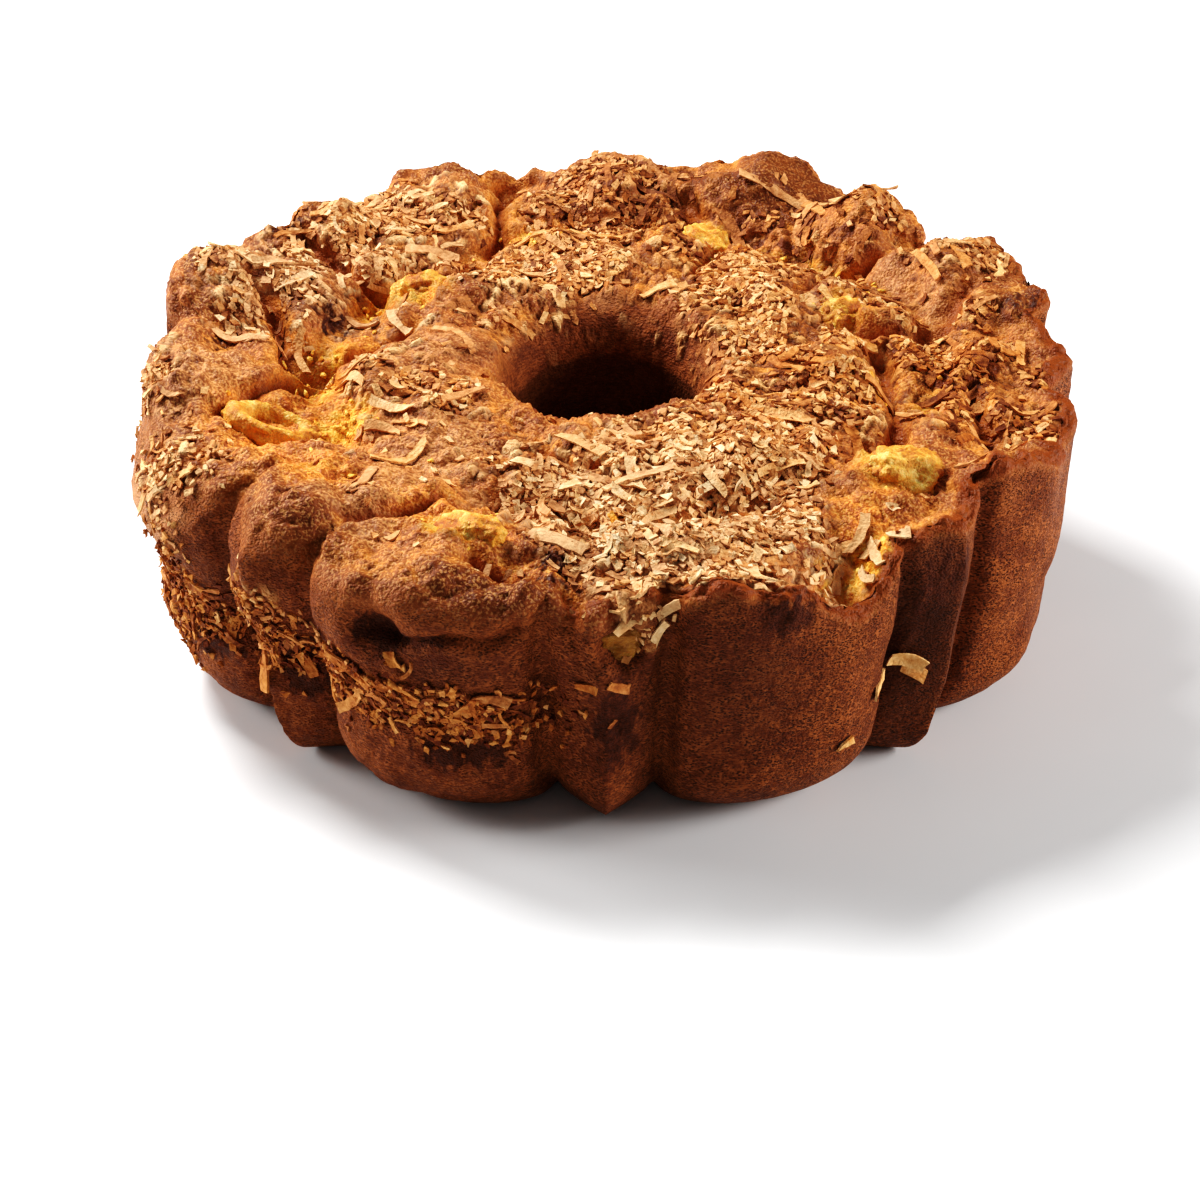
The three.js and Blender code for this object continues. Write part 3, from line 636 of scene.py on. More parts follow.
def crumb_round_fruit(bearing, radii, heights):
    """Crumb heaped round the fruit in the top, and the lip round the fruit in the wall."""
    heaped = 0.0
    for piece in [*PINEAPPLE_WEDGES, PINEAPPLE_LOOP]:
        apart = distance_on_top(bearing, radii, piece["bearing"], piece["radius"])
        heaped = heaped + piece["heaped"] * bell(apart / HEAP_REACH)
    middle = unrolled(PINEAPPLE_IN_WALL["bearing"], PINEAPPLE_IN_WALL["height"])
    apart = np.linalg.norm(unrolled(bearing, heights) - middle, axis=-1)
    return heaped, bell((apart - FRUIT_LIP["distance"]) / FRUIT_LIP["width"])


def wobbly_creases(points):
    """Creases of the top, and of the wall, along uneven lines: shares and depths of each."""
    wobble = noise_vectors(points, CREASE_WOBBLE["size"], CREASE_WOBBLE["seed"])
    moved = points + CREASE_WOBBLE["reach"] * wobble
    on_top = crease_shares(moved[..., :2], CREASES, lambda bearing, radius: place(bearing, radius, 0.0)[:2])
    on_wall = crease_shares(unrolled(bearing_of(moved), moved[..., 2]), WALL_CREASES, unrolled)
    return on_top, on_wall


def skin_round_hole(bearing, radii):
    """Skin from the tin on the lip of the hole, which reaches further at the back."""
    at_back = bell(turn_between(LIP_SKIN["back"], bearing) / LIP_SKIN["back_reach"])
    edge = LIP_RADIUS - LIP_SKIN["inset"] + LIP_SKIN["back_rise"] * at_back
    return np.clip((edge - radii) / LIP_SKIN["fade"], 0, 1)


class Crust:
    """The fine surface of the cake, its zones, and where things lie on it."""

    def __init__(self):
        bearing, self.rim, self.rim_height, radii, heights = section_rows()
        smooth = place(bearing[None, :], radii, heights)
        normal = grid_normals(smooth)
        self.zones = self.find_zones(smooth, radii, heights, bearing[None, :])
        relief = self.relief(smooth)
        self.zones["relief"] = relief
        self.points = smooth + normal * relief[..., None]
        self.points[..., 2] = np.maximum(self.points[..., 2], 0)
        self.normals = grid_normals(self.points)
        self.lying = self.blurred(self.points)
        self.facing = grid_normals(self.blurred(self.lying))

    def find_zones(self, points, radii, heights, bearing):
        """Shares that steer relief and colour at every point, most of them from 0 to 1."""
        rows = np.arange(len(radii))[:, None]
        everywhere = np.ones_like(radii)
        wall = (rows >= WALL_START) * everywhere
        inside = ((rows >= STEPS["top"] + STEPS["lip"]) & (rows < WALL_START)) * everywhere
        flat_top = (1 - wall) * (1 - inside)

        def over_cake(top_patches, wall_patches):
            on_wall = wall * wall_share(wall_patches, bearing, heights)
            return flat_top * top_share(top_patches, bearing, radii) + on_wall

        rounded = rounded_share(bearing) * everywhere
        below_rim = wall * (self.rim_height[None, :] - heights)
        inside_rim = flat_top * (self.rim[None, :] - radii)
        pan = wall * (1 - bell(below_rim / (PAN_EDGE["sharp"] + PAN_EDGE["rounded"] * rounded)))
        pan = np.maximum(pan, np.maximum(inside, flat_top * skin_round_hole(bearing, radii)))
        torn = TORN_RIM["most"] - np.abs(turn_between(TORN_RIM["bearing"], bearing)) / TORN_RIM["reach"]
        rim = np.clip(torn, TORN_RIM["least"], 1) * bell((below_rim + inside_rim) / TORN_RIM["width"])
        broken = BROKEN_CRACK["share"] + noise(points, BROKEN_CRACK["size"], BROKEN_CRACK["seed"])
        broken = np.clip(broken, 0, 1)
        from_crack = crack_distance(bearing, radii)
        in_crack = bell((from_crack + BROKEN_CRACK["inside"]) / BROKEN_CRACK["width"]) * broken
        crumb = top_share(CRUMB_PATCHES, bearing, radii)
        crumb = flat_top * np.maximum(BROKEN_CRACK["crumb"] * in_crack, crumb)
        (top_crease, top_depth), (wall_crease, wall_depth) = wobbly_creases(points)
        crack_line = CRACK_LINE["share"] * bell(from_crack / CRACK_LINE["width"]) * broken
        crease = flat_top * np.maximum(top_crease, crack_line) + wall * wall_crease
        from_ridge = np.abs(turn_between(0, bearing * FLUTES) / FLUTES)
        in_valley = bell(turn_between(RIDGE_HALF_ANGLE, from_ridge) / VALLEY_LINE["half_angle"])
        top_depth = CREASE_DEPTH * top_depth + BROKEN_CRACK["depth"] * in_crack
        wall_depth = np.maximum(wall_depth, VALLEY_LINE["depth"] * in_valley)
        smooth = flat_top * top_share(BARE_PATCHES, bearing, radii)
        cover = over_cake(COCONUT_PATCHES + FINE_COCONUT, WALL_COCONUT) * (1 - COVER_LOST["crease"] * crease)
        cover = cover * (1 - COVER_LOST["crumb"] * crumb) * (1 - smooth)
        tone, chance, height, inside_flake = pressed_flakes(points)
        flaked = np.clip(FLAKED["sharp"] * (FLAKED["gain"] * cover - chance) + FLAKED["middle"], 0, 1)
        flaked = flaked * np.clip(FLAKED["edge_gain"] * cover - FLAKED["edge_start"], 0, 1)
        brown_edge = bell((below_rim - inside_rim - BROWN_EDGE["below"]) / BROWN_EDGE["width"])
        brown_edge = BROWN_EDGE["share"] * (1 - inside) * rounded * brown_edge
        heaped, lipped = crumb_round_fruit(bearing, radii, heights)
        return {
            "pan": pan, "rim": (1 - inside) * (1 - rounded) * rim, "cover": cover, "crumb": crumb,
            # Burnt places, and a few patches of painted shade drawn the same way
            "burnt": over_cake(TOP_BURNS_AND_SHADE, WALL_BURNS_AND_SHADE), "crease": crease,
            "sunk": flat_top * top_depth + wall * wall_depth,
            "glow": wall * overflow_at(bearing) * bell(below_rim / GLOW_DEPTH), "rounded": rounded,
            "heaped": flat_top * heaped, "lipped": wall * lipped,
            "brown": np.maximum(brown_edge, over_cake(BROWN_PATCHES, BROWN_WALL)),
            # Paler skin, partly painted sheen and painted light
            "pale": over_cake(PALE_TOP_AND_PAINTED_LIGHT, PALE_WALL),
            "porous": wall * pan * (1 - CLOSED_PORES * rounded),
            "smooth": smooth,
            "golden": flat_top * top_share(GOLDEN_TOP, bearing, radii),
            # Painted shade inside the hole and on parts of the wall
            "dark": PAINTED_SHADE_IN_HOLE * inside + wall * wall_share(PAINTED_SHADE_ON_WALL, bearing, heights),
            "flaked": flaked, "flake_tone": tone, "flake_edge": inside_flake, "flake_height": height,
            "tint": flat_top * zone_value(bearing, radii, "tone") + wall * wall_value(heights, "tone"),
            "warmth": flat_top * zone_value(bearing, radii, "warmth") + wall * wall_value(heights, "warmth"),
        }

    def relief(self, points):
        """How far the fine surface stands out from the smooth form."""
        z = self.zones
        drift = noise_vectors(points, RELIEF_DRIFT["size"], RELIEF_DRIFT["seed"])
        warped = points + RELIEF_DRIFT["reach"] * drift
        lumpy = relief_of("lumps", warped, billow) * (1 - LUMPS_UNDER_COCONUT * z["cover"])
        lumpy = lumpy * (1 - SMOOTHED["lumps"] * z["smooth"])
        fine = relief_of("crags", warped, billow) + relief_of("nubs", warped, billow)
        fine = (1 - SMOOTHED["fine"] * z["smooth"]) * (fine + relief_of("grit", points, layered))
        scales = SCALE_RISE * (1 - z["flaked"]) * (1 - SMOOTHED["scales"] * z["smooth"]) * z["flake_height"]
        crags = (1 - z["pan"]) * (lumpy + fine + scales)
        puffs = relief_of("puffs", warped, billow) + relief_of("puff_grit", points, layered)
        skin = relief_of("skin_waves", points, noise) + relief_of("skin_grit", points, layered)
        skin = z["pan"] * (skin + z["rounded"] * puffs)
        char = z["burnt"] * relief_of("char", points * np.array(CHAR_STRETCH), layered)
        packed = z["flaked"] * z["flake_height"] + z["cover"] * relief_of("packed", points, layered)
        crumbs = z["crumb"] * relief_of("crumb", points, layered)
        crumbs = crumbs + z["heaped"] * (1 + relief_of("heaped", points, layered))
        crumbs = crumbs + z["lipped"] * (FRUIT_LIP["rise"] + relief_of("fruit_lip", points, layered))
        torn = z["rim"] * relief_of("torn_rim", points, layered)
        fade = np.clip(points[..., 2] / RELIEF_ABOVE_BASE, 0, 1)
        return fade * (crags + skin + char + packed + crumbs + torn - z["sunk"])

    def blurred(self, grid):
        """The grid with fine unevenness smoothed out, for things that lie on it."""
        for axis in (0, 1):
            for reach in (1, 2):
                grid = (np.roll(grid, reach, axis) + grid + np.roll(grid, -reach, axis)) / 3
        return grid

    def sample(self, grid, rows, bearing):
        """Values of a grid between its rows and bearings."""
        cols = fraction(bearing / 360) * BEARINGS
        row_low = np.floor(rows).astype(int)
        col_low = np.floor(cols).astype(int)
        a = (rows - row_low)[..., None]
        b = (cols - col_low)[..., None]
        total = len(grid)
        r0, r1 = row_low % total, (row_low + 1) % total
        c0, c1 = col_low % BEARINGS, (col_low + 1) % BEARINGS
        low = grid[r0, c0] * (1 - b) + grid[r0, c1] * b
        high = grid[r1, c0] * (1 - b) + grid[r1, c1] * b
        return low * (1 - a) + high * a

    def zone_at(self, zone, rows, bearing):
        """Share of a zone between the rows and bearings of the grid."""
        return self.sample(self.zones[zone][..., None], rows, bearing)[..., 0]

    def top_rows(self, bearing, radius):
        rim = rim_radius(bearing)
        on_top = np.clip((rim - radius) / (rim - LIP_RADIUS), 0, 1) * STEPS["top"]
        past_lip = np.arcsin(np.clip((LIP_RADIUS - radius) / HOLE_LIP["width"], 0, 1)) / (math.pi / 2)
        return on_top + past_lip * STEPS["lip"]

    def wall_rows(self, bearing, height):
        cols = (fraction(bearing / 360) * BEARINGS).astype(int) % BEARINGS
        share = np.clip(height / self.rim_height[cols], 0, 1)
        return WALL_START + np.arccos(1 - 2 * share) / math.pi * STEPS["wall"]

    def rows_under(self, points, on_wall):
        """Rows of the surface that points lie over."""
        bearing = bearing_of(points)
        if on_wall:
            return self.wall_rows(bearing, points[..., 2])
        return self.top_rows(bearing, radius_of(points))

    def under(self, points, on_wall):
        """Points of the surface below given points."""
        return self.sample(self.lying, self.rows_under(points, on_wall), bearing_of(points))

    def facing_at(self, points, on_wall):
        """Directions that the surface faces below given points."""
        facing = self.sample(self.facing, self.rows_under(points, on_wall), bearing_of(points))
        return facing / np.linalg.norm(facing, axis=-1, keepdims=True)


def new_object(name, points, faces):
    """A mesh piece that rides on the cake, made from points in millimetres."""
    mesh = bpy.data.meshes.new(name)
    mesh.from_pydata((points * METRES).reshape(-1, 3).tolist(), [], faces.tolist())
    mesh.polygons.foreach_set("use_smooth", np.ones(len(mesh.polygons), bool))
    mesh.update()
    piece = bpy.data.objects.new(name, mesh)
    bpy.context.scene.collection.objects.link(piece)
    return piece


def give_values(piece, name, values):
    """Stores one number for each point of a piece, for its material to read."""
    attribute = piece.data.attributes.new(name, "FLOAT", "POINT")
    attribute.data.foreach_set("value", np.ascontiguousarray(values, np.float32).ravel())


SHADED_ZONES = (
    "pan", "rim", "crumb", "burnt", "crease", "glow", "relief", "tint", "warmth", "brown", "pale", "flaked",
    "flake_tone", "flake_edge", "porous", "dark", "smooth", "golden",
)


def crust_piece(name, crust, rows):
    """One stretch of the crust's surface as a piece."""
    grid = crust.points[rows]
    across = np.arange(BEARINGS)
    beside = (across + 1) % BEARINGS
    row = np.arange(len(rows) - 1)[:, None] * BEARINGS
    corners = [row + across, row + beside, row + BEARINGS + beside, row + BEARINGS + across]
    faces = np.stack(corners, -1).reshape(-1, 4)
    piece = new_object(name, grid, faces)
    for zone in SHADED_ZONES:
        give_values(piece, zone, crust.zones[zone][rows])
    piece.data.normals_split_custom_set_from_vertices(crust.normals[rows].reshape(-1, 3).tolist())
    return piece


# A surface that leans less than this has no heading of its own
LEVEL = 1e-3


def tangents(normals, headings):
    """Directions along and across on a surface, turned to headings seen from its outside."""
    start = np.cross(np.array([0.0, 0.0, 1.0]), normals)
    lengths = np.linalg.norm(start, axis=-1, keepdims=True)
    start = np.where(lengths < LEVEL, np.array([1.0, 0.0, 0.0]), start / np.maximum(lengths, LEVEL))
    beside = np.cross(normals, start)
    turn = np.radians(headings)[..., None]
    along = start * np.cos(turn) + beside * np.sin(turn)
    return along, np.cross(normals, along)


def strip_faces(steps, sides):
    """Faces of one thin strip: its two sides and the edge round them."""
    rows = steps + 1
    lower = rows * sides
    faces = []
    for i in range(steps):
        for j in range(sides - 1):
            a = i * sides + j
            quad = [a, a + sides, a + sides + 1, a + 1]
            faces.append(quad)
            faces.append([lower + q for q in reversed(quad)])
    rim = [i * sides for i in range(rows)]
    rim += [(rows - 1) * sides + j for j in range(1, sides)]
    rim += [i * sides + sides - 1 for i in range(rows - 2, -1, -1)]
    rim += list(range(sides - 2, 0, -1))
    for a, b in zip(rim, rim[1:] + rim[:1]):
        faces.append([b, a, lower + a, lower + b])
    return np.array(faces)


# How uneven strips are: skew of their ends, rough faces, and the draws for their curl and cupping
STRIP_SKEW = 0.6
STRIP_ROUGHNESS = 0.12
CURL_DRAW = (-0.4, 1)
CUP_DRAW = (-0.5, 1)


def strips(crust, origins, normals, headings, lengths, widths, loose, rng, kind, on_wall):
    """Points of thin curved strips that lie on the surface, and how far each stands off it."""
    count = len(origins)
    steps, sides = kind["steps"], kind["sides"]
    along = np.linspace(-1, 1, steps + 1)[None, :, None]
    across = np.linspace(-1, 1, sides)[None, None, :]
    length = lengths[:, None, None] / 2
    width = widths[:, None, None] / 2
    loose = loose[:, None, None]

    def draw(low, high):
        return rng.uniform(low, high, count)[:, None, None]

    def ragged(share):
        return share * rng.uniform(-1, 1, (count, steps + 1, sides))

    narrow = 1 - draw(0, kind["taper"]) * along**2
    x = (along + ragged(kind["ragged"] / steps)) * length
    x = x + draw(-STRIP_SKEW, STRIP_SKEW) * across * width
    y = across * width * narrow * (1 + ragged(kind["ragged"]))
    y = y + draw(-1, 1) * kind["bend"] * along**2 * length
    z = draw(*CURL_DRAW) * kind["curl"] * along**2 * length + ragged(STRIP_ROUGHNESS)
    z = z + draw(*CUP_DRAW) * kind["cup"] * across**2 * width
    z = z + draw(-1, 1) * kind["twist"] * along * across * width
    z = loose * (z + kind["tip"] * (draw(-1, 1) * along * length + draw(-1, 1) * across * width))
    side, beside = (axis[:, None, None, :] for axis in tangents(normals, headings))
    flat = origins[:, None, None, :] + x[..., None] * side + y[..., None] * beside
    lying = crust.under(flat, on_wall)
    outward = normals[:, None, None, :]
    rise = np.sum((lying - flat) * outward, -1, keepdims=True)
    rise = np.clip(rise, -kind["follow_most"], kind["follow_most"]) * kind["follow"]
    low, high = kind["lift"]
    raised = z + loose * (low + (high - low) * draw(0, 1) ** 2)
    middle = flat + outward * (rise + raised[..., None])
    half = outward * (draw(*kind["thickness"]) / 2)[..., None]
    return np.stack([middle + half, middle - half], 1), np.stack([raised, raised], 1)


# Kinds of strips, in millimetres: lengths as the shortest, usual and longest
SHRED = {
    "length": (4.5, 6, 12), "width": (1.0, 2.1), "thickness": (0.35, 0.65), "steps": 7, "sides": 3,
    "ragged": 0.22, "taper": 0.3, "bend": 0.35, "curl": 0.22, "cup": 0.4, "twist": 0.6, "tip": 0.1,
    "follow": 0.9, "follow_most": 3.0, "lift": (0.2, 1.5), "smooth_angle": 55,
}
CHIP = {
    "length": (1.3, 2.4, 5.0), "width": (0.9, 2.1), "thickness": (0.3, 0.6), "steps": 3, "sides": 3,
    "ragged": 0.32, "taper": 0.2, "bend": 0.15, "curl": 0.45, "cup": 0.8, "twist": 0.6, "tip": 0.36,
    "follow": 0.9, "follow_most": 2.0, "lift": (0.0, 1.3), "smooth_angle": 60,
}
CRUMB = {
    "length": (1, 1.6, 3), "width": (0.8, 1.7), "thickness": (0.4, 0.9), "steps": 1, "sides": 2,
    "ragged": 0.4, "taper": 0.0, "bend": 0.0, "curl": 0.0, "cup": 0.0, "twist": 0.6, "tip": 0.4,
    "follow": 1.0, "follow_most": 2.0, "lift": (0.1, 1.2), "smooth_angle": 70,
}
SLIVER = {
    "thickness": (0.4, 0.7), "steps": 5, "sides": 3,
    "ragged": 0.14, "taper": 0.12, "bend": 0.14, "curl": 0.2, "cup": 0.4, "twist": 0.5, "tip": 0.12,
    "follow": 0.9, "follow_most": 3.0, "lift": (0.2, 1.2), "smooth_angle": 55,
}
GRAIN = {
    "length": (0.7, 1.2, 2.2), "width": (0.7, 1.5), "thickness": (0.5, 1.0), "steps": 2, "sides": 3,
    "ragged": 0.3, "taper": 0.5, "bend": 0.0, "curl": -0.4, "cup": -0.5, "twist": 0.2, "tip": 0.2,
    "follow": 1.0, "follow_most": 2.0, "lift": (-0.4, 0.3), "smooth_angle": 180,
}

# Seeds of the random draws, and how many places are tried for each kind
SEEDS = {"shreds": 11, "chips": 12, "crumbs": 13, "grains": 14, "slivers": 15}
TRIES = {"shreds": 1600, "wall_shreds": 3000, "chips": 9000, "crumbs": 30000, "grains": 12000}

# Tone of the coconut, from brown to cream, and how far single pieces differ
USUAL_TONE = 0.5
NOTED_TONE = 0.6
TONE_SPREAD = {
    "noted": 0.12, "drawn": 0.2, "shreds": 0.25, "wall_shreds": 0.22, "bits": 0.38, "wall_bits": 0.32,
    "grains": 0.3, "slivers": 0.1,
}
WARMTH_SPREAD = 0.3
SIZE_ON_WALL = 0.75
DRAWN_WIDTH = 0.6

# The slivers on the right of the wall are paler than the others
PALE_SLIVERS = {"from": 20, "tone": 0.9, "usual": 0.58}

# How the coconut differs over the top: bearing, radius, spread, change of tone, warmth
COCONUT_ZONES = [
    (8, 84, 30, 0.1, 0.3), (34, 108, 18, 0.08, 0.4), (58, 52, 22, -0.06, 0.75), (176, 96, 34, -0.25, 0.6),
    (82, 92, 30, -0.2, 0.95), (-112, 90, 28, 0.0, 0.3), (-145, 97, 22, -0.02, 0.55),
    (150, 84, 28, -0.18, 0.8), (120, 95, 22, -0.1, 0.6),
]
USUAL_WARMTH = 0.65
USUAL_WEIGHT = 0.15
ON_WALL = {"tone": (-0.26, 0.02), "warmth": (1.0, 0.5), "low": 42, "high": 56}


def zone_value(bearing, radius, kind):
    """Change of tone, or warmth, of the coconut at places on the top."""
    tones = 0.0
    warmths = USUAL_WEIGHT * USUAL_WARMTH
    weights = USUAL_WEIGHT
    for at, out, spread, tone, warmth in COCONUT_ZONES:
        weight = bell(distance_on_top(bearing, radius, at, out) / spread)
        tones = tones + weight * tone
        warmths = warmths + weight * warmth
        weights = weights + weight
    return tones if kind == "tone" else warmths / weights


def wall_value(height, kind):
    """Change of tone, or warmth, of the coconut at heights on the wall."""
    share = np.clip((height - ON_WALL["low"]) / (ON_WALL["high"] - ON_WALL["low"]), 0, 1)
    low, high = ON_WALL[kind]
    return low + (high - low) * share


def look_at(spots, on_wall, kind):
    """Change of tone, or warmth, of the coconut at places over the cake."""
    if on_wall:
        return wall_value(spots[..., 2], kind)
    return zone_value(bearing_of(spots), radius_of(spots), kind)


# Coconut lies loose in the heap at the front of the top, and is stuck down elsewhere
LOOSE = {"bearing": 14, "radius": 82, "spread": 36, "least": 0.7, "wall": 0.9}


def heaped_share(bearing, radius):
    """How much a place on the top belongs to the heap of coconut at the front, from 0 to 1."""
    return bell(distance_on_top(bearing, radius, LOOSE["bearing"], LOOSE["radius"]) / LOOSE["spread"])


# How coconut is scattered on the top: in clumps, more on raised places, with a few strays elsewhere
SCATTER = {"rim_inset": 1.5, "lip_reach": 9, "cover_from": 0.2, "cover_over": 0.5, "stray": 0.006}
RAISED = {"level": 0.8, "gain": 0.22, "least": 0.15, "most": 1.25}
CLUMPS = {"size": 10, "seed": 21, "level": 0.55, "gain": 1.3, "most": 1.4}
CLUMPS_IN_HEAP = {"level": 0.6, "gain": -0.7}
SCATTER_ON_WALL = {"bearings": (-125, 50), "heights": (4, 74), "sharpness": 1.3}


def scattered_on_top(crust, rng, tries):
    """Places on the top, drawn as densely as the coconut covers it, and seldom in its cracks."""
    bearing = rng.uniform(-180, 180, tries)
    outer = rim_radius(bearing) - SCATTER["rim_inset"]
    inner = LIP_RADIUS - SCATTER["lip_reach"]
    radius = np.sqrt(inner**2 + (outer**2 - inner**2) * rng.random(tries))
    rows = crust.top_rows(bearing, radius)
    cover = (crust.zone_at("cover", rows, bearing) - SCATTER["cover_from"]) / SCATTER["cover_over"]
    raised = RAISED["level"] + RAISED["gain"] * crust.zone_at("relief", rows, bearing)
    heaped = heaped_share(bearing, radius)
    clumped = noise(place(bearing, radius, 0.0), CLUMPS["size"], CLUMPS["seed"])
    clumped = (CLUMPS["gain"] + CLUMPS_IN_HEAP["gain"] * heaped) * clumped
    clumped = np.clip(CLUMPS["level"] + CLUMPS_IN_HEAP["level"] * heaped + clumped, 0, CLUMPS["most"])
    share = np.clip(cover, 0, 1) * clumped * np.clip(raised, RAISED["least"], RAISED["most"])
    keep = rng.random(tries) < share + SCATTER["stray"]
    return place(bearing[keep], radius[keep], TOP_HEIGHT)


def scattered_on_wall(rng, tries):
    """Places on the wall, drawn as densely as the coconut covers it."""
    bearing = rng.uniform(*SCATTER_ON_WALL["bearings"], tries)
    height = rng.uniform(*SCATTER_ON_WALL["heights"], tries)
    cover = wall_share(WALL_COCONUT, bearing, height)
    keep = rng.random(tries) < cover ** SCATTER_ON_WALL["sharpness"]
    return place(bearing[keep], LOBE["rim"], height[keep])


def drawn_flakes():
    """Places, lengths and widths of the large flakes of the solids, on the top and on the wall."""
    fruit = [(piece, max(piece["half"])) for piece in PINEAPPLE_WEDGES]
    fruit.append((PINEAPPLE_LOOP, PINEAPPLE_LOOP["ring"] + PINEAPPLE_LOOP["tube"]))
    draws = np.arange(1, FLAKE_TRIES + 1)
    bearing = 360 * fraction(draws * PLASTIC)
    chance = fraction(draws * GOLDEN)
    spread = fraction(draws * PLASTIC_SQUARED)
    outer = rim_radius(bearing) - FLAKE_RIM_INSET
    radius = np.sqrt(LIP_RADIUS**2 + (outer**2 - LIP_RADIUS**2) * spread)
    height = COCONUT_BAND["height"] + COCONUT_BAND["half_height"] * (2 * spread - 1)
    spots = {False: place(bearing, radius, TOP_HEIGHT), True: place(bearing, LOBE["rim"], height)}
    fits = {
        False: chance <= top_share(COCONUT_PATCHES, bearing, radius),
        True: chance <= overflow_at(bearing) ** 2,
    }
    wanted = FLAKES_ON_TOP + FLAKES_ON_WALL
    laid = []
    found = {False: [], True: []}

    def clear_of_fruit(i, reach):
        for piece, size in fruit:
            apart = distance_on_top(bearing[i], radius[i], piece["bearing"], piece["radius"])
            if apart <= size + reach + FLAKE_CLEARANCE:
                return False
        return True

    for i, draw in enumerate(draws):
        on_wall = len(found[True]) < FLAKES_ON_WALL and draw % WALL_FLAKE_EVERY == 0
        spot = spots[on_wall][i]
        length = FLAKE["longest"] + (FLAKE["shortest"] - FLAKE["longest"]) * math.sqrt(len(laid) / wanted)
        apart = all(np.linalg.norm(spot - other) > FLAKE_SPACING for other in laid)
        clear = on_wall or clear_of_fruit(i, length / 2)
        if len(laid) < wanted and fits[on_wall][i] and clear and apart:
            width = FLAKE["width"] * (FLAKE_WIDTHS["least"] + FLAKE_WIDTHS["spread"] * chance[i])
            found[on_wall].append((*spot, length, width, 360 * fraction(draw * SILVER)))
            laid.append(spot)
    return {on_wall: np.array(flakes) for on_wall, flakes in found.items()}


# Painted shade and light: coconut is painted darker where it lies close to the surface and paler where it
# stands off it
LIFT_SHADE = {"level": 0.5, "reach": 1.0, "change": 0.16}


class Strips:
    """Strips of one kind, gathered into one piece."""

    def __init__(self, crust, kind, seed):
        self.crust = crust
        self.kind = kind
        self.rng = np.random.default_rng(seed)
        self.points = []
        self.tones = []
        self.warmths = []

    def lay(self, spots, headings, lengths, widths, on_wall, tone, tone_spread):
        """Adds strips at places over the surface."""
        normals = self.crust.facing_at(spots, on_wall)
        origins = self.crust.under(spots, on_wall)
        loose = np.full(len(spots), LOOSE["wall"])
        if not on_wall:
            loose = LOOSE["least"] + (1 - LOOSE["least"]) * heaped_share(bearing_of(spots), radius_of(spots))
        sizes = headings, lengths, widths, loose
        laid, raised = strips(self.crust, origins, normals, *sizes, self.rng, self.kind, on_wall)
        self.points.append(laid.reshape(len(laid), -1, 3))
        drawn = self.rng.uniform(-tone_spread, tone_spread, len(spots))
        own = tone + look_at(spots, on_wall, "tone") + drawn
        # Painted shade near the surface, paler where raised
        paler = (raised.reshape(len(laid), -1) - LIFT_SHADE["level"]) / LIFT_SHADE["reach"]
        self.tones.append(own[:, None] + LIFT_SHADE["change"] * np.clip(paler, -1, 1))
        drawn = self.rng.uniform(-WARMTH_SPREAD, WARMTH_SPREAD, len(spots))
        self.warmths.append(np.clip(look_at(spots, on_wall, "warmth") + drawn, 0, 1))

    def scatter(self, spots, on_wall, tone_spread):
        """Adds strips of drawn sizes and headings."""
        count = len(spots)
        size = SIZE_ON_WALL if on_wall else 1.0
        lengths = size * self.rng.triangular(*self.kind["length"], count)
        widths = size * self.rng.uniform(*self.kind["width"], count)
        self.lay(spots, self.rng.uniform(0, 360, count), lengths, widths, on_wall, USUAL_TONE, tone_spread)

    def join(self, name):
        """The piece, with the tone and warmth of its points."""
        points = np.concatenate(self.points)
        faces = strip_faces(self.kind["steps"], self.kind["sides"])
        count, size = points.shape[:2]
        every = (faces[None] + (np.arange(count) * size)[:, None, None]).reshape(-1, 4)
        piece = new_object(name, points, every)
        piece.data.set_sharp_from_angle(angle=math.radians(self.kind["smooth_angle"]))
        give_values(piece, "tone", np.concatenate(self.tones))
        give_values(piece, "warmth", np.repeat(np.concatenate(self.warmths), size))
        return piece


def heading_on_top(normals, headings):
    """Turns on the surface that give headings seen from above."""
    start, beside = tangents(normals, np.zeros(len(normals)))
    wanted = np.stack([np.cos(np.radians(headings)), np.sin(np.radians(headings))], -1)
    return np.degrees(np.arctan2(np.sum(beside[:, :2] * wanted, -1), np.sum(start[:, :2] * wanted, -1)))


def coconut_shreds(crust):
    """Long shreds: those that stand out, those of the solids, and smaller ones among them."""
    shreds = Strips(crust, SHRED, SEEDS["shreds"])
    bearing, radius, lengths, widths, headings = np.array(NOTED_SHREDS, float).T
    spots = place(bearing, radius, TOP_HEIGHT)
    turns = heading_on_top(crust.facing_at(spots, False), headings)
    shreds.lay(spots, turns, lengths, widths, False, NOTED_TONE, TONE_SPREAD["noted"])
    for on_wall, flakes in drawn_flakes().items():
        lengths, widths, turns = flakes[:, 3], DRAWN_WIDTH * flakes[:, 4], flakes[:, 5]
        shreds.lay(flakes[:, :3], turns, lengths, widths, on_wall, USUAL_TONE, TONE_SPREAD["drawn"])
    shreds.scatter(scattered_on_top(crust, shreds.rng, TRIES["shreds"]), False, TONE_SPREAD["shreds"])
    shreds.scatter(scattered_on_wall(shreds.rng, TRIES["wall_shreds"]), True, TONE_SPREAD["wall_shreds"])
    return shreds.join("coconut_shreds")


def coconut_slivers(crust):
    """Slivers that stand out on the wall, pale on its right."""
    slivers = Strips(crust, SLIVER, SEEDS["slivers"])
    bearing, height, lengths, widths, headings = np.array(NOTED_WALL_CHIPS).T
    tones = np.where(bearing > PALE_SLIVERS["from"], PALE_SLIVERS["tone"], PALE_SLIVERS["usual"])
    spots = place(bearing, LOBE["rim"], height)
    slivers.lay(spots, headings, lengths, widths, True, tones, TONE_SPREAD["slivers"])
    return slivers.join("coconut_slivers")


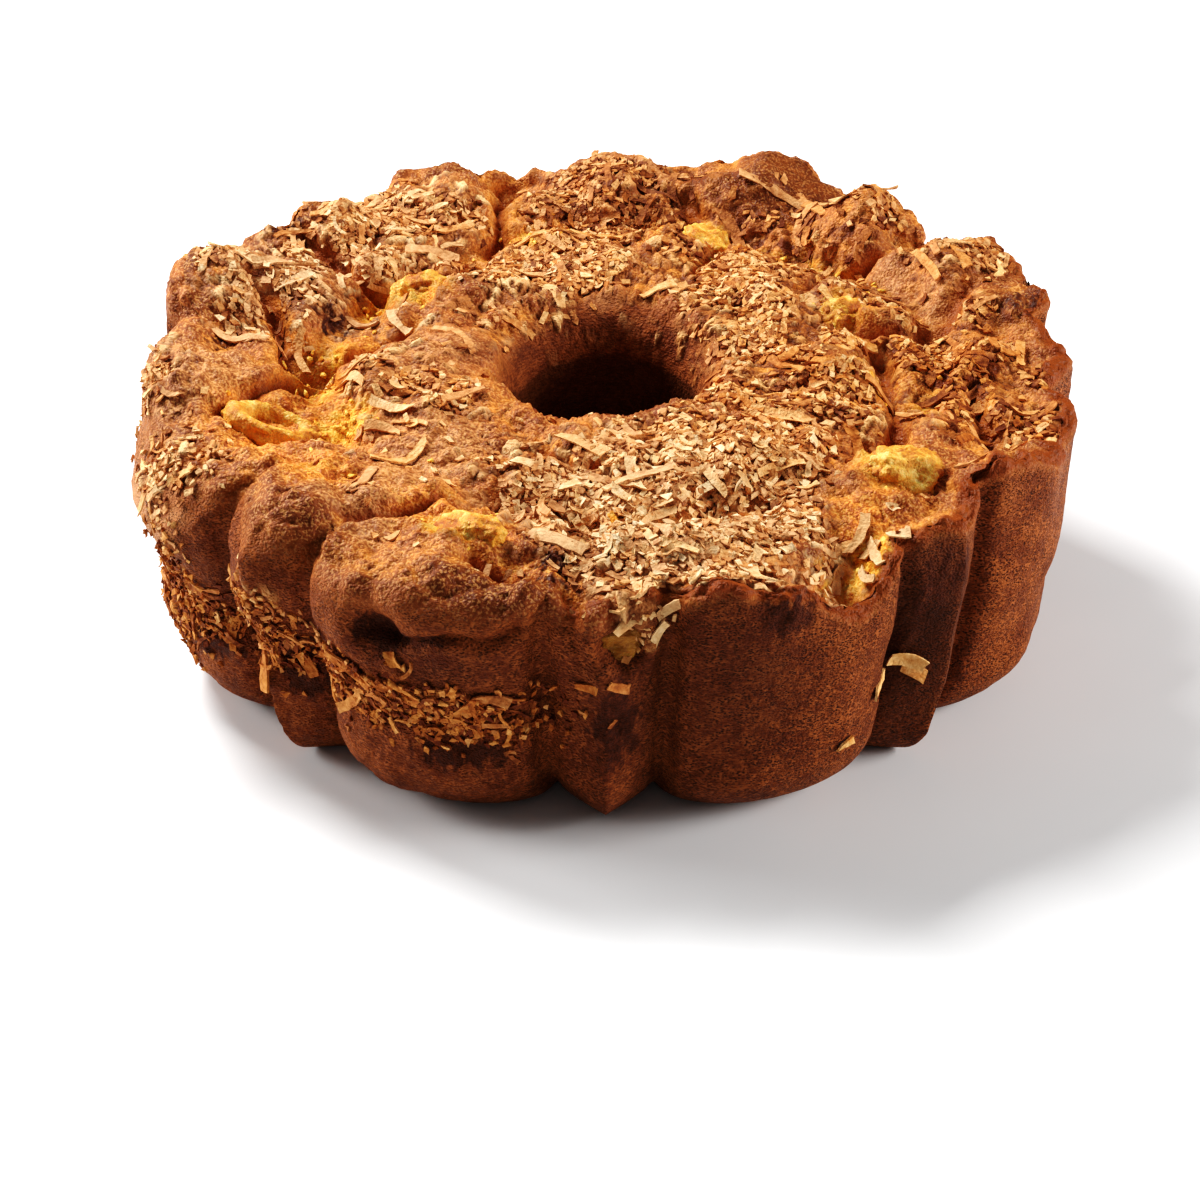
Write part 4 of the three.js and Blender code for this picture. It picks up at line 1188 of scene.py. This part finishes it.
def coconut_bits(crust, name, kind):
    """Many small pieces of one kind over the top and the wall."""
    bits = Strips(crust, kind, SEEDS[name])
    bits.scatter(scattered_on_top(crust, bits.rng, TRIES[name]), False, TONE_SPREAD["bits"])
    bits.scatter(scattered_on_wall(bits.rng, TRIES[name]), True, TONE_SPREAD["wall_bits"])
    return bits.join(f"coconut_{name}")


# Loose crumbs keep this far from the rim, and this share of those tried stays where all is crumb
GRAIN_RIM_INSET = 6
GRAIN_SHARE = 0.6


def cake_crumbs(crust):
    """Loose yellow crumbs in the cracks and round the fruit."""
    bits = Strips(crust, GRAIN, SEEDS["grains"])
    bearing = bits.rng.uniform(-180, 180, TRIES["grains"])
    radius = np.sqrt(bits.rng.uniform(LIP_RADIUS**2, (rim_radius(bearing) - GRAIN_RIM_INSET) ** 2))
    share = crust.zone_at("crumb", crust.top_rows(bearing, radius), bearing)
    keep = bits.rng.random(TRIES["grains"]) < GRAIN_SHARE * share**2
    bits.scatter(place(bearing[keep], radius[keep], TOP_HEIGHT), False, TONE_SPREAD["grains"])
    piece = bits.join("cake_crumbs")
    give_values(piece, "crumb", np.ones(len(piece.data.vertices)))
    return piece


def frame_on(piece):
    """Place and axes of a pineapple piece."""
    if "height" in piece:
        origin = place(piece["bearing"], piece["radius"], piece["height"])
        outward = place(piece["bearing"], 1.0, 0.0)
    else:
        bearing, radius = piece["bearing"], piece["radius"]
        here = place(bearing, radius, top_height(bearing, radius))
        outer = place(bearing, radius + NORMAL_REACH, top_height(bearing, radius + NORMAL_REACH))
        turned = bearing + math.degrees(NORMAL_REACH / radius)
        beside = place(turned, radius, top_height(turned, radius))
        outward = np.cross(outer - here, beside - here)
        outward = outward / np.linalg.norm(outward)
        origin = here + np.array([0, 0, piece["lift"]])
    side, across = tangents(outward, np.array(float(piece["turn"])))
    return origin, np.stack([side, across, outward])


def ball_mesh():
    """Points and faces of a finely divided ball of radius 1."""
    ball = bmesh.new()
    bmesh.ops.create_icosphere(ball, subdivisions=WEDGE_DETAIL, radius=1)
    points = np.array([v.co for v in ball.verts])
    faces = np.array([[v.index for v in f.verts] for f in ball.faces])
    ball.free()
    return points, faces


def wedge_points(ball, half):
    """Boxy wedge of pineapple with fibres along it."""
    boxy = np.sign(ball) * np.abs(ball) ** WEDGE_BOXINESS
    narrow = 1 - WEDGE_NARROWING * boxy[:, 0]
    lump = 1 + WEDGE_LUMPS["share"] * lumps(ball, WEDGE_LUMPS["wavelength"], fraction(half[0] * GOLDEN))
    points = boxy * np.array(half) * lump[:, None]
    points[:, 1] *= narrow
    return points


def loop_points():
    """Loop of pineapple, squashed across, with its faces."""
    ring = np.arange(LOOP_STEPS["ring"])[:, None] * 2 * math.pi / LOOP_STEPS["ring"]
    tube = np.arange(LOOP_STEPS["tube"])[None, :] * 2 * math.pi / LOOP_STEPS["tube"]
    out = PINEAPPLE_LOOP["ring"] + PINEAPPLE_LOOP["tube"] * np.cos(tube)
    high = PINEAPPLE_LOOP["tube"] * np.sin(tube) * np.ones_like(ring)
    points = np.stack([out * np.cos(ring), PINEAPPLE_LOOP["squash"] * out * np.sin(ring), high], -1)
    i, j = np.meshgrid(np.arange(LOOP_STEPS["ring"]), np.arange(LOOP_STEPS["tube"]), indexing="ij")
    after, above = (i + 1) % LOOP_STEPS["ring"], (j + 1) % LOOP_STEPS["tube"]
    corners = [i, after, after, i], [j, j, above, above]
    faces = np.stack([r * LOOP_STEPS["tube"] + t for r, t in zip(*corners)], -1)
    return points.reshape(-1, 3), faces.reshape(-1, 4)


# Seeds of the fruit's relief, and how far apart its pieces lie in the noise
FRUIT_SEEDS = {"fibre": 31, "torn": 32, "grain": 33}
NOISE_APART = 50

# Fruit is bare on its upper side: the share at its middle, and how far above that it is all bare
FRUIT_BARE = {"middle": 0.5, "reach": 6}


def fruit_relief(local, apart, torn_rise):
    """How far baked fruit stands out from its plain form: fibres along it, tears and grain."""
    stretched = local * np.array([1 / FIBRE["stretch"], 1, 1])
    rise = FIBRE["rise"] * layered(stretched + apart, FIBRE["size"], FRUIT_SEEDS["fibre"])
    rise = rise + torn_rise * layered(local + apart, TORN_FRUIT["size"], FRUIT_SEEDS["torn"])
    return rise + FRUIT_GRAIN["rise"] * billow(local + apart, FRUIT_GRAIN["size"], FRUIT_SEEDS["grain"])


def pineapple_pieces():
    """Every pineapple piece, replacing its solid."""
    ball, ball_faces = ball_mesh()
    made = []
    everything = [*PINEAPPLE_WEDGES, PINEAPPLE_LOOP, PINEAPPLE_IN_WALL]
    for number, piece in enumerate(everything, start=1):
        if "ring" in piece:
            local, faces = loop_points()
            torn_rise = TORN_FRUIT["loop_rise"]
        else:
            local, faces = wedge_points(ball, piece["half"]), ball_faces
            torn_rise = TORN_FRUIT["rise"]
        outward = local / np.linalg.norm(local, axis=-1, keepdims=True)
        local = local + outward * fruit_relief(local, NOISE_APART * number, torn_rise)[:, None]
        origin, axes = frame_on(piece)
        node = f"pineapple_{number}"
        shown = new_object(f"{node}_fruit", origin + local @ axes, faces)
        bare = FRUIT_BARE["middle"] + local[:, 2] / FRUIT_BARE["reach"]
        give_values(shown, "bare", np.clip(bare, 0, 1))
        # The piece in the wall is darkened, partly browned and partly painted shade of its hollow
        give_values(shown, "shade", np.full(len(local), float("height" in piece)))
        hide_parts(node)
        made.append(shown)
    return made


# Colours that change with a value, as a screen shows them, each with the value where it is reached
RAMPS = {
    "cool_coconut": [
        (0.0, (120, 68, 38)), (0.25, (179, 125, 82)), (0.5, (210, 163, 119)), (0.75, (228, 190, 142)),
        (1.0, (242, 216, 176)),
    ],
    "warm_coconut": [
        (0.0, (108, 50, 19)), (0.25, (170, 95, 38)), (0.5, (208, 137, 70)), (0.75, (230, 176, 112)),
        (1.0, (242, 208, 154)),
    ],
    "baked_top": [
        (0.38, (216, 136, 63)), (0.44, (204, 126, 62)), (0.49, (188, 113, 61)), (0.56, (166, 97, 55)),
        (0.64, (132, 73, 41)),
    ],
    "pale_and_sheen_top": [(0.4, (212, 150, 100)), (0.6, (164, 102, 60))],
    "brown_top": [(0.4, (134, 73, 35)), (0.6, (90, 45, 20))],
    "golden_top": [(0.4, (240, 166, 78)), (0.5, (222, 134, 56)), (0.6, (186, 98, 42))],
    "crumb": [(0.4, (248, 206, 106)), (0.5, (236, 168, 64)), (0.6, (210, 122, 44))],
    "skin": [(0.42, (103, 50, 22)), (0.5, (129, 68, 32)), (0.58, (157, 88, 45))],
    "pale_skin": [(0.4, (186, 120, 78)), (0.6, (216, 156, 108))],
    "overflow": [(0.4, (120, 58, 20)), (0.6, (156, 86, 36))],
    "rim": [(0.0, (92, 36, 10)), (1.0, (148, 72, 26))],
    "char": [(0.0, (42, 18, 8)), (1.0, (98, 47, 23))],
    "fruit": [(0.36, (238, 206, 120)), (0.44, (224, 170, 76)), (0.51, (202, 132, 47)), (0.6, (164, 87, 31))],
    "fruit_crumb": [(0.0, (240, 182, 78)), (1.0, (202, 124, 46))],
    "floor": [(0.0, (234, 234, 234)), (1.0, (239, 239, 239))],
}

# Single colours, as a screen shows them
COLOURS = {
    "shade_between_scales": (114, 54, 20), "dark_grain": (108, 50, 18), "light_grain_and_glints": (236, 178, 112),
    "crease": (134, 62, 22), "batter_and_shade_between_flakes": (102, 51, 23), "painted_shade_on_skin": (66, 31, 13), "pit": (46, 20, 8),
    "browned_and_shaded_fruit": (144, 94, 26),
}

# Noises of the materials: size of their lumps in millimetres, and layers of detail
NOISES = {
    "patchy": (9, 2), "lumpy": (2.2, 2), "grainy": (0.7, 1), "lines": (1.6, 1), "streaks": (2.0, 2),
    "coconut_flecks": (1.6, 3), "coconut_grain": (0.7, 1), "fruit_patches": (6, 3), "fruit_lumps": (2, 3),
    "fruit_grain": (0.7, 2), "floor": (40, 2),
}

# How upright lengths are scaled for marks: above 1 they lie flat, below 1 they run down the wall
FLATTENED = {"lines": 4.0, "pits": 1.9, "streaks": 0.35}

# Pits in the wall, in millimetres, and where their edges begin and end as shares of that
PIT_SPACING = 0.8
PIT_EDGES = (0.52, 0.26)

# Height of the materials' bumps, in millimetres
BUMPS = {"crust": 1.0, "coconut": 0.35, "fruit": 0.8}

# How far light goes into the fruit, in metres, for red, green and blue
LIGHT_IN_FRUIT = (0.004, 0.002, 0.0006)


def srgb(red, green, blue):
    """Colour of a shader from the red, green and blue that a screen shows."""
    parts = [c / 255 for c in (red, green, blue)]
    return (*[c / 12.92 if c <= 0.04045 else ((c + 0.055) / 1.055) ** 2.4 for c in parts], 1.0)


class Shader:
    """A material and short ways to add its nodes."""

    def __init__(self, name):
        self.material = bpy.data.materials.new(name)
        self.material.use_nodes = True
        self.tree = self.material.node_tree
        self.surface = self.tree.nodes["Principled BSDF"]
        self.place = self.add("ShaderNodeTexCoord").outputs["Object"]

    def add(self, kind, inputs=None, **settings):
        node = self.tree.nodes.new(kind)
        for key, value in settings.items():
            setattr(node, key, value)
        for key, value in (inputs or {}).items():
            self.put(node.inputs[key], value)
        return node

    def put(self, socket, value):
        if isinstance(value, bpy.types.NodeSocket):
            self.tree.links.new(value, socket)
        else:
            socket.default_value = value

    def finish(self, **sockets):
        """Sets the surface's sockets, with underscores for the spaces in their names."""
        for name, value in sockets.items():
            self.put(self.surface.inputs[name.replace("_", " ")], value)
        return self.material

    def noise(self, name):
        """One of the noises, from 0 to 1."""
        size, detail = NOISES[name]
        where = self.flattened(name) if name in FLATTENED else self.place
        inputs = {"Vector": where, "Scale": 1 / (size * METRES), "Detail": detail}
        return self.add("ShaderNodeTexNoise", inputs).outputs["Fac"]

    def pits(self):
        """Round pits of mixed sizes, 1 in their middles."""
        inputs = {"Vector": self.flattened("pits"), "Scale": 1 / (PIT_SPACING * METRES)}
        apart = self.add("ShaderNodeTexVoronoi", inputs).outputs["Distance"]
        return self.between(apart, *PIT_EDGES)

    def flattened(self, name):
        """Object coordinates with upright lengths scaled, for flat or long marks."""
        inputs = {"Vector": self.place, "Scale": (1.0, 1.0, FLATTENED[name])}
        return self.add("ShaderNodeMapping", inputs, vector_type="POINT").outputs["Vector"]

    def value(self, name):
        return self.add("ShaderNodeAttribute", attribute_name=name).outputs["Fac"]

    def math(self, operation, a, b):
        return self.add("ShaderNodeMath", {0: a, 1: b}, operation=operation).outputs[0]

    def times(self, a, b):
        return self.math("MULTIPLY", a, b)

    def total(self, *weighed):
        """Sum of values, each with its weight."""
        parts = [self.times(value, weight) for value, weight in weighed]
        result = parts[0]
        for part in parts[1:]:
            result = self.math("ADD", result, part)
        return result

    def between(self, value, low, high, to_low=0.0, to_high=1.0):
        """The value's share of the way from low to high."""
        inputs = {"Value": value, "From Min": low, "From Max": high, "To Min": to_low, "To Max": to_high}
        return self.add("ShaderNodeMapRange", inputs).outputs["Result"]

    def mix(self, share, a, b):
        return self.add("ShaderNodeMix", {0: share, 6: a, 7: b}, data_type="RGBA").outputs[2]

    def painted(self, share, under, colour):
        """A colour with a share of one of the single colours over it."""
        return self.mix(share, under, srgb(*COLOURS[colour]))

    def ramp(self, value, name):
        node = self.add("ShaderNodeValToRGB", {"Fac": value})
        elements = node.color_ramp.elements
        while len(elements) < len(RAMPS[name]):
            elements.new(0.5)
        for element, (position, colour) in zip(elements, RAMPS[name]):
            element.position = position
            element.color = srgb(*colour)
        return node.outputs["Color"]

    def bump(self, height, distance):
        """Small unevenness of a height in millimetres."""
        inputs = {"Height": height, "Distance": distance * METRES, "Strength": 1.0}
        return self.add("ShaderNodeBump", inputs).outputs["Normal"]


def coconut_colour(s, tone, warmth):
    """Colour of toasted coconut by tone, from brown to cream, and by warmth."""
    return s.mix(warmth, s.ramp(tone, "cool_coconut"), s.ramp(tone, "warm_coconut"))


def top_colour(s, grains):
    """Crust of the top: brown or golden in places, pale in places and partly painted sheen there, with yellow
    crumb where it is broken, painted shade in its creases and between its scales, and light specks that are
    partly painted glints.
    """
    patchy, lumpy, grainy = grains
    speckled = s.total((lumpy, 0.5), (grainy, 0.5))
    relief = s.between(s.value("relief"), -2.5, 3.0)
    flake_tone = s.value("flake_tone")
    tone = s.total((relief, 0.35), (patchy, 0.25), (lumpy, 0.15), (grainy, 0.13), (flake_tone, 0.12))
    colour = s.ramp(tone, "baked_top")
    # Paler skin, partly painted sheen on smooth raised places
    pale_share = s.between(s.total((s.value("pale"), 1.0), (patchy, 0.5)), 0.5, 0.9, 0.0, 0.8)
    colour = s.mix(pale_share, colour, s.ramp(speckled, "pale_and_sheen_top"))
    brown_share = s.between(s.total((s.value("brown"), 1.0), (patchy, 0.5)), 0.5, 0.9)
    colour = s.mix(brown_share, colour, s.ramp(speckled, "brown_top"))
    golden_share = s.total((s.value("golden"), 1.0), (patchy, 0.7), (relief, -0.3))
    golden_share = s.between(golden_share, 0.5, 0.9, 0.0, 0.85)
    colour = s.mix(golden_share, colour, s.ramp(speckled, "golden_top"))
    # Painted shade in the gaps between the scales
    colour = s.painted(s.between(s.value("flake_edge"), 0.0, 1.0, 0.5, 0.0), colour, "shade_between_scales")
    grain_share = s.between(s.value("smooth"), 0.0, 1.0, 0.34, 0.12)
    colour = s.painted(s.times(s.between(grainy, 0.53, 0.6), grain_share), colour, "dark_grain")
    # Light specks, partly the grain and partly painted glints
    colour = s.painted(s.times(s.between(grainy, 0.46, 0.38), grain_share), colour, "light_grain_and_glints")
    crumb_share = s.between(s.total((s.value("crumb"), 1.0), (grainy, 0.3), (lumpy, 0.3)), 0.6, 0.95)
    colour = s.mix(crumb_share, colour, s.ramp(s.total((lumpy, 0.6), (grainy, 0.4)), "crumb"))
    # Painted shade in the creases
    return s.painted(s.between(s.value("crease"), 0.25, 0.9, 0.0, 0.8), colour, "crease")


def pressed_colour(s, grainy):
    """Flakes pressed into the crust, with browned batter between them, darkened there as painted shade."""
    tone = s.total((s.value("flake_tone"), 0.75), (grainy, 0.7), (s.value("tint"), 1.0))
    flake = coconut_colour(s, s.math("SUBTRACT", tone, 0.32), s.value("warmth"))
    # Browned batter between the flakes, darkened as painted shade
    return s.painted(s.between(s.value("flake_edge"), 1.0, 0.0), flake, "batter_and_shade_between_flakes")


def wall_colour(s, grains):
    """Skin from the tin, golden where batter ran over, and its fine pits."""
    patchy, lumpy, _ = grains
    lines = s.noise("lines")
    mottled = s.total((patchy, 0.5), (lumpy, 0.5))
    colour = s.ramp(s.total((patchy, 0.34), (lumpy, 0.31), (lines, 0.35)), "skin")
    # Paler skin, and painted light at the back of the hole's lip
    pale_share = s.between(s.total((s.value("pale"), 1.0), (patchy, 0.4)), 0.4, 0.9)
    colour = s.mix(pale_share, colour, s.ramp(mottled, "pale_skin"))
    colour = s.mix(s.between(s.value("glow"), 0.1, 0.9, 0.0, 0.9), colour, s.ramp(mottled, "overflow"))
    # Painted shade on parts of the wall and inside the hole
    painted_shade_share = s.between(s.total((s.value("dark"), 1.0), (patchy, 0.4)), 0.2, 1.1)
    colour = s.painted(painted_shade_share, colour, "painted_shade_on_skin")
    pits = s.times(s.pits(), s.between(s.value("porous"), 0.0, 1.0, 0.25, 0.95))
    pits = s.times(pits, s.between(lumpy, 0.38, 0.58, 0.4, 0.95))
    return s.painted(pits, colour, "pit"), pits


def crust_material():
    """Baked crust of the top and the wall, dark at the rim and blackened where burnt, with painted shade in a
    few dark patches, inside the hole and on parts of the wall.
    """
    s = Shader("baked_crust")
    grains = s.noise("patchy"), s.noise("lumpy"), s.noise("grainy")
    _, lumpy, grainy = grains
    pan = s.value("pan")
    wall, pits = wall_colour(s, grains)
    colour = s.mix(pan, top_colour(s, grains), wall)
    rim_share = s.between(s.total((s.value("rim"), 1.0), (lumpy, 0.6)), 0.6, 1.1, 0.0, 0.9)
    colour = s.mix(rim_share, colour, s.ramp(grainy, "rim"))
    colour = s.mix(s.value("flaked"), colour, pressed_colour(s, grainy))
    # Blackened where burnt, and where burnt patches stand in as painted shade
    burnt = s.value("burnt")
    streaks = s.noise("streaks")
    char_and_shade_share = s.between(s.total((burnt, 1.0), (streaks, 1.4), (lumpy, 1.0)), 1.48, 1.75)
    char_and_shade_share = s.times(char_and_shade_share, s.between(burnt, 0.1, 0.3))
    colour = s.mix(char_and_shade_share, colour, s.ramp(grainy, "char"))
    heights = s.total((grainy, 0.45), (lumpy, 0.4), (s.times(pits, pan), -0.35))
    return s.finish(
        Base_Color=colour,
        Roughness=s.between(s.total((grainy, 0.5), (pan, 0.3)), 0.2, 0.6, 0.4, 0.65),
        Specular_IOR_Level=0.1,
        Normal=s.bump(heights, BUMPS["crust"]),
    )


def coconut_material():
    """Dry toasted coconut."""
    s = Shader("toasted_coconut")
    tone = s.total((s.value("tone"), 1.0), (s.noise("coconut_flecks"), 0.8))
    return s.finish(
        Base_Color=coconut_colour(s, s.math("SUBTRACT", tone, 0.46), s.value("warmth")),
        Roughness=0.65,
        Specular_IOR_Level=0.12,
        Normal=s.bump(s.noise("coconut_grain"), BUMPS["coconut"]),
    )


def pineapple_material():
    """Moist baked pineapple, golden with browned spots and specks of crumb; the piece in the wall is darker,
    partly browned and partly painted shade of its hollow.
    """
    s = Shader("baked_pineapple")
    patchy, lumpy, grainy = s.noise("fruit_patches"), s.noise("fruit_lumps"), s.noise("fruit_grain")
    colour = s.ramp(s.total((patchy, 0.45), (lumpy, 0.35), (grainy, 0.2)), "fruit")
    crumb_share = s.between(s.total((s.value("bare"), -1.0), (lumpy, 1.2)), -0.3, 0.1)
    colour = s.mix(crumb_share, colour, s.ramp(grainy, "fruit_crumb"))
    return s.finish(
        Base_Color=s.painted(s.times(s.value("shade"), 0.85), colour, "browned_and_shaded_fruit"),
        Roughness=s.between(lumpy, 0.3, 0.7, 0.4, 0.65),
        Specular_IOR_Level=0.25,
        Subsurface_Weight=0.2,
        Subsurface_Radius=LIGHT_IN_FRUIT,
        Subsurface_Scale=1.0,
        Normal=s.bump(s.total((lumpy, 1.0), (grainy, 0.6)), BUMPS["fruit"]),
    )


def floor_material():
    s = Shader("pale_floor")
    return s.finish(Base_Color=s.ramp(s.noise("floor"), "floor"), Roughness=0.6)


# The photograph's view: lengths in metres, focal length and frame in its pixels
VIEW = {"elevation": 27.5, "distance": 0.78, "height": 0.04, "focal": 3030, "frame": 1200, "sensor": 36.0}
TARGET_PIXEL = (606.5, 467.0)


def add_camera():
    data = bpy.data.cameras.new("camera")
    data.sensor_width = VIEW["sensor"]
    data.lens = VIEW["focal"] * VIEW["sensor"] / VIEW["frame"]
    camera = bpy.data.objects.new("camera", data)
    bpy.context.scene.collection.objects.link(camera)
    tilt = math.radians(VIEW["elevation"])
    distance = VIEW["distance"]
    camera.location = (0, -distance * math.cos(tilt), VIEW["height"] + distance * math.sin(tilt))
    middle = VIEW["frame"] / 2
    down = tilt + math.atan((middle - TARGET_PIXEL[1]) / VIEW["focal"])
    aside = math.atan((TARGET_PIXEL[0] - middle) / VIEW["focal"])
    camera.rotation_euler = (math.pi / 2 - down, 0, aside)
    bpy.context.scene.camera = camera


# Studio light: places and sizes in metres, power in watts
LIGHTS = {
    "key": {"at": (-0.55, 0.5, 1.0), "size": 0.4, "power": 22.5},
    "left": {"at": (-1.2, 0.35, 0.4), "size": 0.5, "power": 16},
    "right": {"at": (1.1, -0.1, 0.4), "size": 0.5, "power": 16},
}
LIGHTS_AIM = (0, 0, 0.05)
SURROUNDING_LIGHT = 0.17
FLOOR_SIZE = 12.0


def add_light(name, at, size, power):
    """Soft square light that faces the cake."""
    data = bpy.data.lights.new(name, "AREA")
    data.size = size
    data.energy = power
    light = bpy.data.objects.new(name, data)
    light.location = at
    light.rotation_euler = (Vector(LIGHTS_AIM) - Vector(at)).to_track_quat("-Z", "Y").to_euler()
    bpy.context.scene.collection.objects.link(light)


# Contrast of the photograph: how much of the light from a place it shows
TONE_CURVE = [(0.01, 0.0042), (0.033, 0.0165), (0.1, 0.078), (0.214, 0.214), (0.52, 0.56)]


def add_contrast():
    settings = bpy.context.scene.view_settings
    settings.view_transform = "Standard"
    settings.use_curve_mapping = True
    every_colour = settings.curve_mapping.curves[3]
    for light, shown in TONE_CURVE:
        every_colour.points.new(light, shown)
    settings.curve_mapping.update()


def add_floor():
    half = FLOOR_SIZE / 2
    corners = [(-half, -half, 0), (half, -half, 0), (half, half, 0), (-half, half, 0)]
    mesh = bpy.data.meshes.new("floor")
    mesh.from_pydata(corners, [], [(0, 1, 2, 3)])
    mesh.materials.append(floor_material())
    floor = bpy.data.objects.new("floor", mesh)
    bpy.context.scene.collection.objects.link(floor)


def add_studio():
    world = bpy.data.worlds.new("studio")
    bpy.context.scene.world = world
    world.use_nodes = True
    background = world.node_tree.nodes["Background"]
    background.inputs["Color"].default_value = (1, 1, 1, 1)
    background.inputs["Strength"].default_value = SURROUNDING_LIGHT
    for name, light in LIGHTS.items():
        add_light(name, **light)
    add_floor()
    add_contrast()


def dress(piece, material):
    piece.data.materials.append(material)
    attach(piece, "root")


crust = Crust()
baked = crust_material()
top_rows = list(range(TOP_END + 1))
wall_rows = list(range(TOP_END, len(crust.points))) + [0]
for name, rows in (("crust_top", top_rows), ("crust_wall", wall_rows)):
    crust_part = crust_piece(name, crust, rows)
    dress(crust_part, baked)
    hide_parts("cake")

toasted = coconut_material()
coconut = [
    coconut_shreds(crust),
    coconut_slivers(crust),
    coconut_bits(crust, "chips", CHIP),
    coconut_bits(crust, "crumbs", CRUMB),
]
for flakes in coconut:
    dress(flakes, toasted)

dress(cake_crumbs(crust), baked)

fruit = pineapple_material()
for fruit_piece in pineapple_pieces():
    dress(fruit_piece, fruit)

add_camera()
add_studio()
